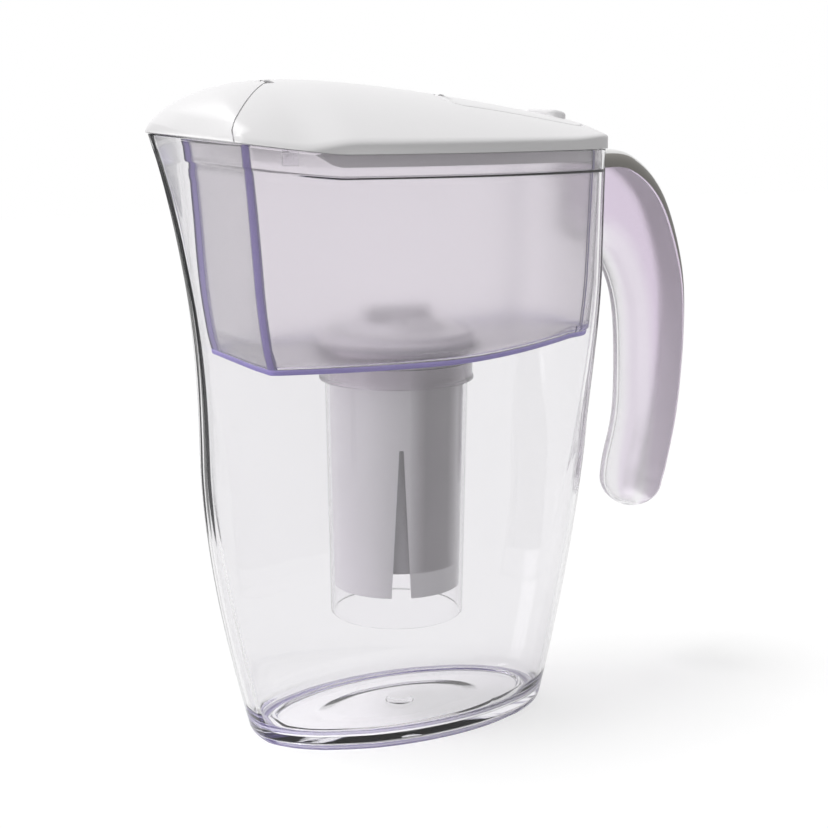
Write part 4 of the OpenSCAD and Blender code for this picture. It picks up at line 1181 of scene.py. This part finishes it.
def clearPlastic(name, face, edge, absorb, density, roughness, haze=0.0, edgePower=5.0, edgeAmount=0.8,
                 ior=1.49, line=(), hollowTint=None):
    # clear moulded plastic: its colour darkens where the surface is seen edge-on, which is painted shade; it
    # lets lamps through and takes its tint from its thickness
    m = Finish(name)
    # painted shade: the edge colour is mixed in where the surface is seen edge-on
    facing = m.node("ShaderNodeLayerWeight", {}, {"Blend": 0.5}, "Facing")
    rim = (facing ** edgePower * edgeAmount).clamped()
    tint = m.node("ShaderNodeMix", {"data_type": "RGBA"}, {"Factor": rim, 6: face, 7: edge}, 2)
    if hollowTint:
        # a lavender tint mixed in where the corner attribute is small; on the handle channel this is the part
        # over its hollow
        distance = m.node("ShaderNodeAttribute", {"attribute_name": "corner"}, output="Fac")
        tint = m.node("ShaderNodeMix", {"data_type": "RGBA"},
                      {"Factor": ((1.25 - distance) * 2).clamped(), 6: tint, 7: hollowTint}, 2)
    smear = m.noise(28.0, 4.0)
    rough = (smear * haze + roughness).clamped() if haze else roughness
    ripple = m.noise(9.0, 1.0)
    bump = m.node("ShaderNodeBump", {}, {"Height": ripple, "Strength": 0.03, "Distance": 0.001})
    body = m.node("ShaderNodeBsdfPrincipled", {}, {"Base Color": tint, "Roughness": rough, "IOR": ior,
                                                   "Transmission Weight": 1.0, "Normal": bump})
    for attribute, core, shade, amount in line:
        # painted shade in a crease: a matte colour laid over the clear plastic, with a darker core
        distance = m.node("ShaderNodeAttribute", {"attribute_name": attribute}, output="Fac")
        deep = ((0.5 - distance) * 4).clamped()
        creaseShade = m.node("ShaderNodeMix", {"data_type": "RGBA"}, {"Factor": deep, 6: shade, 7: core}, 2)
        matte = m.node("ShaderNodeBsdfPrincipled", {},
                       {"Base Color": creaseShade, "Roughness": 0.6, "Specular IOR Level": 0.15})
        body = m.node("ShaderNodeMixShader", {},
                      {0: ((1.25 - distance) * 2.5).clamped() * amount, 1: body, 2: matte})
    through = m.node("ShaderNodeBsdfTransparent", {}, {"Color": face})
    mixed = m.node("ShaderNodeMixShader", {}, {0: m.ray("Is Shadow Ray"), 1: body, 2: through})
    inside = m.node("ShaderNodeVolumeAbsorption", {}, {"Color": absorb, "Density": density})
    return m.end(mixed, inside)


def moulded(name, base, roughness=0.4, grain=0.12, coat=0.0, variation=0.03, grainScale=900.0, metallic=0.0,
            passing=0.0):
    # opaque moulded plastic with a fine spark-eroded texture
    m = Finish(name)
    tone = m.noise(16.0, 3.0)
    dark = tuple(c * (1 - variation) for c in base)
    shade = m.node("ShaderNodeMix", {"data_type": "RGBA"}, {"Factor": tone, 6: base, 7: dark}, 2)
    fine = m.noise(grainScale, 2.0)
    bump = m.node("ShaderNodeBump", {}, {"Height": fine, "Strength": grain, "Distance": 0.0002})
    rough = (m.noise(60.0, 3.0) * 0.12 + (roughness - 0.06)).clamped()
    shader = m.node("ShaderNodeBsdfPrincipled", {},
                    {"Base Color": shade, "Roughness": rough, "Metallic": metallic,
                                                     "Coat Weight": coat, "Coat Roughness": 0.2,
                                                     "Normal": bump})
    if passing:
        # part of the lamps' light passes, which brightens what is inside
        through = m.node("ShaderNodeBsdfTransparent", {}, {"Color": (passing,) * 3})
        shader = m.node("ShaderNodeMixShader", {}, {0: m.ray("Is Shadow Ray"), 1: shader, 2: through})
    return m.end(shader)


def paintedShadeShell(name, base, shade, facing, spread, low, high):
    # white plastic with painted shade: a darker patch on one side, in a band round the axis between two heights
    m = Finish(name)
    where = m.node("ShaderNodeTexCoord", output="Object")
    x = m.node("ShaderNodeSeparateXYZ", {}, [where], "X") - reservoirValues["axisX"] * mm
    y = m.node("ShaderNodeSeparateXYZ", {}, [where], "Y")
    z = m.node("ShaderNodeSeparateXYZ", {}, [where], "Z")
    away = (x * x + y * y) ** 0.5
    side = (x * math.cos(math.radians(facing)) + y * math.sin(math.radians(facing))) / away
    inside, outside = math.cos(math.radians(spread * 0.55)), math.cos(math.radians(spread * 1.25))
    around = ((side - outside) * (1 / (inside - outside))).clamped()
    mask = around * ((z - low * mm) * 1200).clamped() * ((high * mm - z) * 60).clamped()
    tone = m.noise(30.0, 3.0) * 0.25 + 0.8
    mixed = m.node("ShaderNodeMix", {"data_type": "RGBA"}, {"Factor": mask * tone, 6: base, 7: shade}, 2)
    bump = m.node("ShaderNodeBump", {}, {"Height": m.noise(900.0, 2.0), "Strength": 0.06, "Distance": 0.0002})
    return m.end(m.node("ShaderNodeBsdfPrincipled", {},
                        {"Base Color": mixed, "Roughness": m.noise(60.0, 3.0) * 0.12 + 0.3, "Normal": bump}))


def granules(name, low, high, scale):
    # packed grains: a Voronoi pattern for their colour and their height
    m = Finish(name)
    where = m.place()
    cells = m.node("ShaderNodeTexVoronoi", {}, {"Vector": where, "Scale": scale}, "Color")
    height = m.node("ShaderNodeTexVoronoi", {}, {"Vector": where, "Scale": scale}, "Distance")
    pick = m.node("ShaderNodeSeparateColor", {}, {0: cells}, 0)
    shade = m.node("ShaderNodeMix", {"data_type": "RGBA"}, {"Factor": pick, 6: low, 7: high}, 2)
    bump = m.node("ShaderNodeBump", {}, {"Height": 1 - height, "Strength": 0.8, "Distance": 0.0006})
    return m.end(m.node("ShaderNodeBsdfPrincipled", {},
                        {"Base Color": shade, "Roughness": (pick * 0.3 + 0.4), "Normal": bump}))


# painted shade in the creases, for each crease: its attribute, the colours of its core and its shade, and how
# much it covers
creases = {
    "jug": (("corner", (0.004, 0.004, 0.006), (0.012, 0.012, 0.014), 0.92),
            ("foot", (0.22, 0.18, 0.42), (0.34, 0.28, 0.62), 0.5)),
    "reservoir": (("corner", (0.035, 0.028, 0.085), (0.24, 0.19, 0.45), 0.88),
                  ("foot", (0.30, 0.24, 0.66), (0.40, 0.33, 0.76), 0.9)),
}
finishes = {
    "jugClear": clearPlastic("jugClear", (0.905, 0.90, 0.91), (0.10, 0.09, 0.12), (0.86, 0.84, 0.95), 4.0,
                             0.012, 0.015,
                             edgePower=5.0, edgeAmount=0.55, line=creases["jug"]),
    "reservoirViolet": clearPlastic("reservoirViolet", (0.985, 0.960, 0.985), (0.30, 0.25, 0.42),
                                    (0.66, 0.58, 0.78),
                                    9.0, 0.24, 0.0, edgePower=6.0, edgeAmount=0.7, line=creases["reservoir"]),
    "sleeveClear": clearPlastic("sleeveClear", (0.975, 0.97, 0.978), (0.35, 0.34, 0.37), (0.88, 0.87, 0.93),
                                10.0, 0.04, 0.03,
                                edgePower=5.0, edgeAmount=0.6),
    "catchClear": clearPlastic("catchClear", (0.93, 0.92, 0.94), (0.2, 0.18, 0.25), (0.86, 0.84, 0.95), 12.0,
                               0.03, 0.02,
                               edgePower=4.0, edgeAmount=0.8),
    "handleFrost": clearPlastic("handleFrost", (0.955, 0.95, 0.96), (0.45, 0.42, 0.50), (0.80, 0.76, 0.86),
                                6.0, 0.20, 0.05,
                                edgePower=5.0, edgeAmount=0.5, hollowTint=(0.86, 0.80, 0.88)),
    "lidWhite": moulded("lidWhite", colour(240, 239, 240), 0.42, 0.10, variation=0.02, passing=0.6),
    "coverWhite": moulded("coverWhite", colour(236, 236, 235), 0.38, 0.08, variation=0.02),
    # painted shade for the sideways faces of the handle cover: a darker copy of its white
    "flankPaintedShade": moulded("flankPaintedShade", colour(146, 143, 138), 0.42, 0.08, variation=0.04),
    # painted shade on one side of the cartridge shell
    "cartridgeWhite": paintedShadeShell("cartridgeWhite", colour(251, 249, 252), colour(164, 158, 165), -80.0, 21.0,
                                71.0, 166.0),
    # the cup's darker grey is painted shade, for the shadow inside the cartridge shell
    "cupShade": moulded("cupShade", colour(176, 173, 179), 0.5, 0.06, variation=0.02),
    "capWhite": moulded("capWhite", colour(252, 250, 253), 0.4, 0.08, variation=0.02),
    "seal": moulded("seal", colour(222, 221, 226), 0.5, 0.05),
    "screen": moulded("screen", colour(205, 205, 205), 0.6, 0.6, grainScale=2500.0),
    "felt": moulded("felt", colour(228, 228, 222), 0.95, 1.0, grainScale=1600.0),
    "carbon": granules("carbon", (0.008, 0.008, 0.009), (0.05, 0.05, 0.055), 900.0),
    "resin": granules("resin", colour(190, 130, 52), colour(226, 180, 96), 1100.0),
    "pinSteel": moulded("pinSteel", colour(190, 192, 196), 0.28, 0.05, metallic=1.0),
}
print("materials made:", len(finishes))


def dress(piece, finish, body, slot, *nodes):
    piece.data.materials.clear()
    piece.data.materials.append(finishes[finish])
    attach(piece, body)
    if nodes:
        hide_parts(*nodes)
    return piece


filterValues = {"axisX": reservoirValues["axisX"], "foot": 60.5, "footRadius": 27.0167, "topRadius": 28.45,
                "taperEnd": 146.5, "wall": 1.2,
                "flange": 33.4, "flangeLow": 166.7, "deck": 168.7, "slots": 4, "slotTurn": -23.0,
                "slotWidth": 8.2, "slotTip": 1.8,
                "slotHeight": 65.0, "cupFoot": 70.5, "cupRadius": 25.3167, "cupWall": 1.0, "cupFloor": 1.4,
                "cupLip": 169.9,
                "drainRadius": 1.6, "drains": [(6, 6.0), (12, 13.0), (18, 20.0)], "capRadius": 31.65,
                "domeRadius": 21.0,
                "capHeight": 6.0, "gripHeight": 5.0, "inlets": 12, "inletWidth": 1.4, "inletLength": 8.5,
                "inletFrom": 9.0,
                "sleeveFoot": 47.5, "sleeveRadius": 28.6, "sleeveTopRadius": 30.25, "sleeveTop": 158.35,
                "sleeveWall": 1.3}


def slotCutters(name, count, radius, turn, depth, width, tip, height, low, finish):
    tree = Pattern(name, {"Slots": count, "Radius": radius, "Turn": turn, "Depth": depth, "Width": width,
                          "Tip": tip,
                          "Height": height, "Foot": low, "Axis": filterValues["axisX"]})
    shape = tree.tapered(tree.size("Depth"), tree.size("Width"), tree.size("Tip"), tree.size("Height"))
    middle = tree.size("Foot") + tree.size("Height") * 0.5
    ring = tree.ring(shape, tree.size("Slots"), tree.size("Radius"), tree.angle("Turn"), tree.size("Axis"),
                     middle)
    return tree.made(ring, finish)


def drainCutters(count, radius):
    v = filterValues
    tree = Pattern("drains", {"Holes": count, "Radius": radius, "Hole radius": v["drainRadius"],
                              "Height": v["cupFoot"],
                              "Axis": v["axisX"]})
    pin = tree.node("GeometryNodeMeshCylinder", {},
                    {"Vertices": 24, "Radius": tree.size("Hole radius"), "Depth": 0.012})
    return tree.made(tree.ring(pin, tree.size("Holes"), tree.size("Radius"), 0.0, tree.size("Axis"),
                               tree.size("Height")), "cupShade")


def buildSleeve():
    v = filterValues
    r, top, wall = v["sleeveRadius"], v["sleeveTopRadius"], v["sleeveWall"]
    profile = [(r - wall, v["sleeveFoot"]), (r - 0.4, v["sleeveFoot"]), (r, v["sleeveFoot"] + 0.5),
               (top, v["taperEnd"]),
               (top, v["sleeveTop"]), (top - wall, v["sleeveTop"]), (top - wall, v["taperEnd"]),
               (r - wall, v["sleeveFoot"] + 0.5)]
    return revolve("sleeveTube", softened(profile, 0.3), 160, v["axisX"])


def buildCartridge():
    v = filterValues
    low, top, wall = v["footRadius"], v["topRadius"], v["wall"]
    profile = [(low - wall, v["foot"]), (low, v["foot"]), (top, v["taperEnd"]), (top, v["flangeLow"]),
               (v["flange"], v["flangeLow"]),
               (v["flange"], v["deck"]), (top - wall, v["deck"]), (top - wall, v["taperEnd"])]
    shell = revolve("cartridgeShell", softened(profile, 0.4), 160, v["axisX"])
    slots = slotCutters("slots", v["slots"], low, v["slotTurn"], 12.0, v["slotWidth"], v["slotTip"],
                        v["slotHeight"], v["foot"] - 1,
                        "cartridgeWhite")
    return join("cartridgeShell", [carve(shell, slots)])


def buildCup():
    v = filterValues
    r, inner, lip = v["cupRadius"], v["cupRadius"] - v["cupWall"], v["topRadius"] + 1.5
    profile = [(0, v["cupFoot"]), (r - 1, v["cupFoot"]), (r - 0.3, v["cupFoot"] + 0.3), (r, v["cupFoot"] + 1),
               (r, v["deck"]),
               (lip, v["deck"]), (lip, v["cupLip"]), (inner, v["cupLip"]),
               (inner, v["cupFoot"] + v["cupFloor"]),
               (0, v["cupFoot"] + v["cupFloor"])]
    cup = revolve("cartridgeCup", profile, 144, v["axisX"], closed=False)
    for count, radius in v["drains"]:
        carve(cup, drainCutters(count, radius))
    return join("cartridgeCup", [cup])


def buildCap():
    v = filterValues
    lip, dome, under = v["cupLip"], v["domeRadius"], v["topRadius"] + 1.65
    profile = [(0, lip + v["capHeight"] - 1.6), (dome - 5.6, lip + v["capHeight"] - 1.6),
               (dome - 1.6, lip + 1.0), (dome - 1.6, lip),
               (under, lip), (under, v["deck"]), (v["capRadius"], v["deck"]), (v["capRadius"], lip + 1.1),
               (v["capRadius"] - 0.5, lip + 1.6),
               (dome + 0.6, lip + 1.6), (dome, lip + 1.8), (dome - 3, lip + v["capHeight"] - 0.8),
               (dome - 3.6, lip + v["capHeight"] - 0.3),
               (dome - 5, lip + v["capHeight"]), (0, lip + v["capHeight"])]
    cap = revolve("cartridgeCap", profile, 144, v["axisX"], closed=False)
    inlets = slotCutters("inlets", v["inlets"], v["inletFrom"] + v["inletLength"] / 2, 15.0, v["inletLength"],
                         v["inletWidth"],
                         v["inletWidth"], v["capHeight"] + 4, lip - 1, "capWhite")
    return join("cartridgeCap", [carve(cap, inlets), buildGrip()])


def buildGrip():
    # a bar with a round knob at each end, soft along its top edge
    v = filterValues
    end, foot = v["domeRadius"] - 8, v["cupLip"] + v["capHeight"] - 0.5
    top = v["cupLip"] + v["capHeight"] + v["gripHeight"]
    x = (end + 3.2) * np.cos(np.linspace(0, math.pi, 97))
    knob = np.sqrt(np.maximum(0, 3.2 ** 2 - (np.abs(x) - end) ** 2))
    outline = mirrored(np.c_[x, np.where(np.abs(x) < end, np.maximum(1.7, knob), knob)])
    rings = [np.c_[outline * (1 - s), np.full(len(outline), z)] for s, z in
             [(0, foot), (0, top - 0.7), (0.012, top - 0.3), (0.03, top - 0.08), (0.06, top)]]
    verts, faces = loft(rings)
    return makePiece("grip", verts + (v["axisX"], 0, 0), faces)


dress(buildJug(), "jugClear", "jug", "jug_clear", "jug")
dress(buildReservoir(), "reservoirViolet", "reservoir", "reservoir_violet", "reservoir")
dress(buildChannel(), "handleFrost", "jug", "handle_clear", "handle_channel")
shadeFlanks(dress(buildCover(), "coverWhite", "jug", "handle_white", "handle_cover"), "flankPaintedShade")
print("jug, handle and reservoir made")
dress(buildLid(), "lidWhite", "lid", "lid_white", "lid")
dress(buildFlap(), "lidWhite", "fill_flap", "lid_white", "fill_flap")
dress(buildSpoutCover(), "lidWhite", "spout_cover", "lid_white", "spout_cover")
print("lid, flap and spout cover made")

dress(buildSleeve(), "sleeveClear", "reservoir", "sleeve_clear", "sleeve")
dress(buildCartridge(), "cartridgeWhite", "cartridge", "cartridge_white", "cartridge_shell")
dress(buildCup(), "cupShade", "cartridge", "cup_white", "cartridge_cup")
dress(buildCap(), "capWhite", "cartridge", "cap_grey", "cartridge_cap")
print("sleeve and cartridge made")

nodeFinish = {
    "catch_left": "catchClear", "catch_right": "catchClear", "gasket": "seal",
    "inlet_screen": "screen", "outlet_screen": "screen", "felt_pad": "felt", "carbon_bed": "carbon",
    "resin_bed": "resin", "flap_pin": "pinSteel", "spout_pin": "pinSteel",
}
for name, finish in nodeFinish.items():
    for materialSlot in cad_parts[name].material_slots:
        materialSlot.material = finishes[finish]

# the place in metres, the angles in degrees, the focal length and the frame in pixels, the sensor in millimetres
cameraValues = {"place": (-0.3032, -0.5864, 0.2666), "pitch": 11.35, "turn": 27.92, "focal": 1566.6,
                "frame": 828,
                "sensor": 36}
camera = bpy.data.objects.new("camera", bpy.data.cameras.new("camera"))
camera.location = cameraValues["place"]
camera.rotation_euler = (math.radians(90 - cameraValues["pitch"]), 0, math.radians(-cameraValues["turn"]))
camera.data.lens = cameraValues["focal"] * cameraValues["sensor"] / cameraValues["frame"]
camera.data.clip_start, camera.data.clip_end = 0.01, 20
scene.collection.objects.link(camera)
scene.camera = camera

studio = {"sky": 0.36, "floorGlow": 0.66, "floorShade": 0.36, "bounce": 0.45, "key": 2.1, "side": 3.5,
          "keyFrom": (-0.30, 0.10, 1.0), "keyAngle": 20, "sidePlace": (-1.5, 0.05, 0.45),
          "sideAim": (0, 0, 0.15),
          "sideSize": (0.9, 0.9)}


def seenDirectly(m):
    # 1 for what the camera sees straight, in a reflection or through clear plastic
    return (m.ray("Is Camera Ray") + m.ray("Is Glossy Ray") + m.ray("Is Transmission Ray")).clamped()


def makeWorld():
    world = bpy.data.worlds.new("studio")
    scene.world = world
    m = Finish("studio", world)
    seen = seenDirectly(m)
    strength = seen * (1 - studio["sky"]) + studio["sky"]
    m.end(m.node("ShaderNodeBackground", {}, {"Color": (1, 1, 1), "Strength": strength}))


def makeFloor():
    n, size = 8, 3.0
    mesh = bpy.data.meshes.new("floor")
    bm = bmesh.new()
    bmesh.ops.create_grid(bm, x_segments=n, y_segments=n, size=size)
    bm.to_mesh(mesh)
    bm.free()
    floor = bpy.data.objects.new("floor", mesh)
    floor.location = (0, 0, -0.0004)
    scene.collection.objects.link(floor)
    m = Finish("floorWhite")
    lit = m.node("ShaderNodeBsdfDiffuse", {}, {"Color": (studio["bounce"],) * 3})
    glow = m.node("ShaderNodeEmission", {}, {"Color": (1, 1, 1), "Strength": studio["floorGlow"]})
    shade = m.node("ShaderNodeBsdfDiffuse", {}, {"Color": (studio["floorShade"],) * 3})
    white = m.node("ShaderNodeAddShader", {}, {0: glow, 1: shade})
    mixed = m.node("ShaderNodeMixShader", {}, {0: seenDirectly(m), 1: lit, 2: white})
    mesh.materials.append(m.end(mixed))


def lamp(name, where, at, size, power):
    data = bpy.data.lights.new(name, "AREA")
    data.shape, data.size, data.size_y = "RECTANGLE", *size
    data.energy = power
    light = bpy.data.objects.new(name, data)
    light.location = where
    aim = Vector(at) - Vector(where)
    light.rotation_euler = aim.to_track_quat("-Z", "Y").to_euler()
    light.visible_camera = False
    scene.collection.objects.link(light)
    return light


def sun(name, towards, angle, strength):
    data = bpy.data.lights.new(name, "SUN")
    data.angle, data.energy = math.radians(angle), strength
    light = bpy.data.objects.new(name, data)
    light.rotation_euler = Vector(towards).to_track_quat("Z", "Y").to_euler()
    scene.collection.objects.link(light)
    return light


makeWorld()
makeFloor()
sun("key", studio["keyFrom"], studio["keyAngle"], studio["key"])
lamp("side", studio["sidePlace"], studio["sideAim"], studio["sideSize"], studio["side"])
scene.view_settings.view_transform = "Standard"
scene.cycles.max_bounces = 28
scene.cycles.transmission_bounces = 28
scene.cycles.transparent_max_bounces = 32
scene.cycles.caustics_refractive = True
scene.cycles.caustics_reflective = False
print("camera and lights placed")
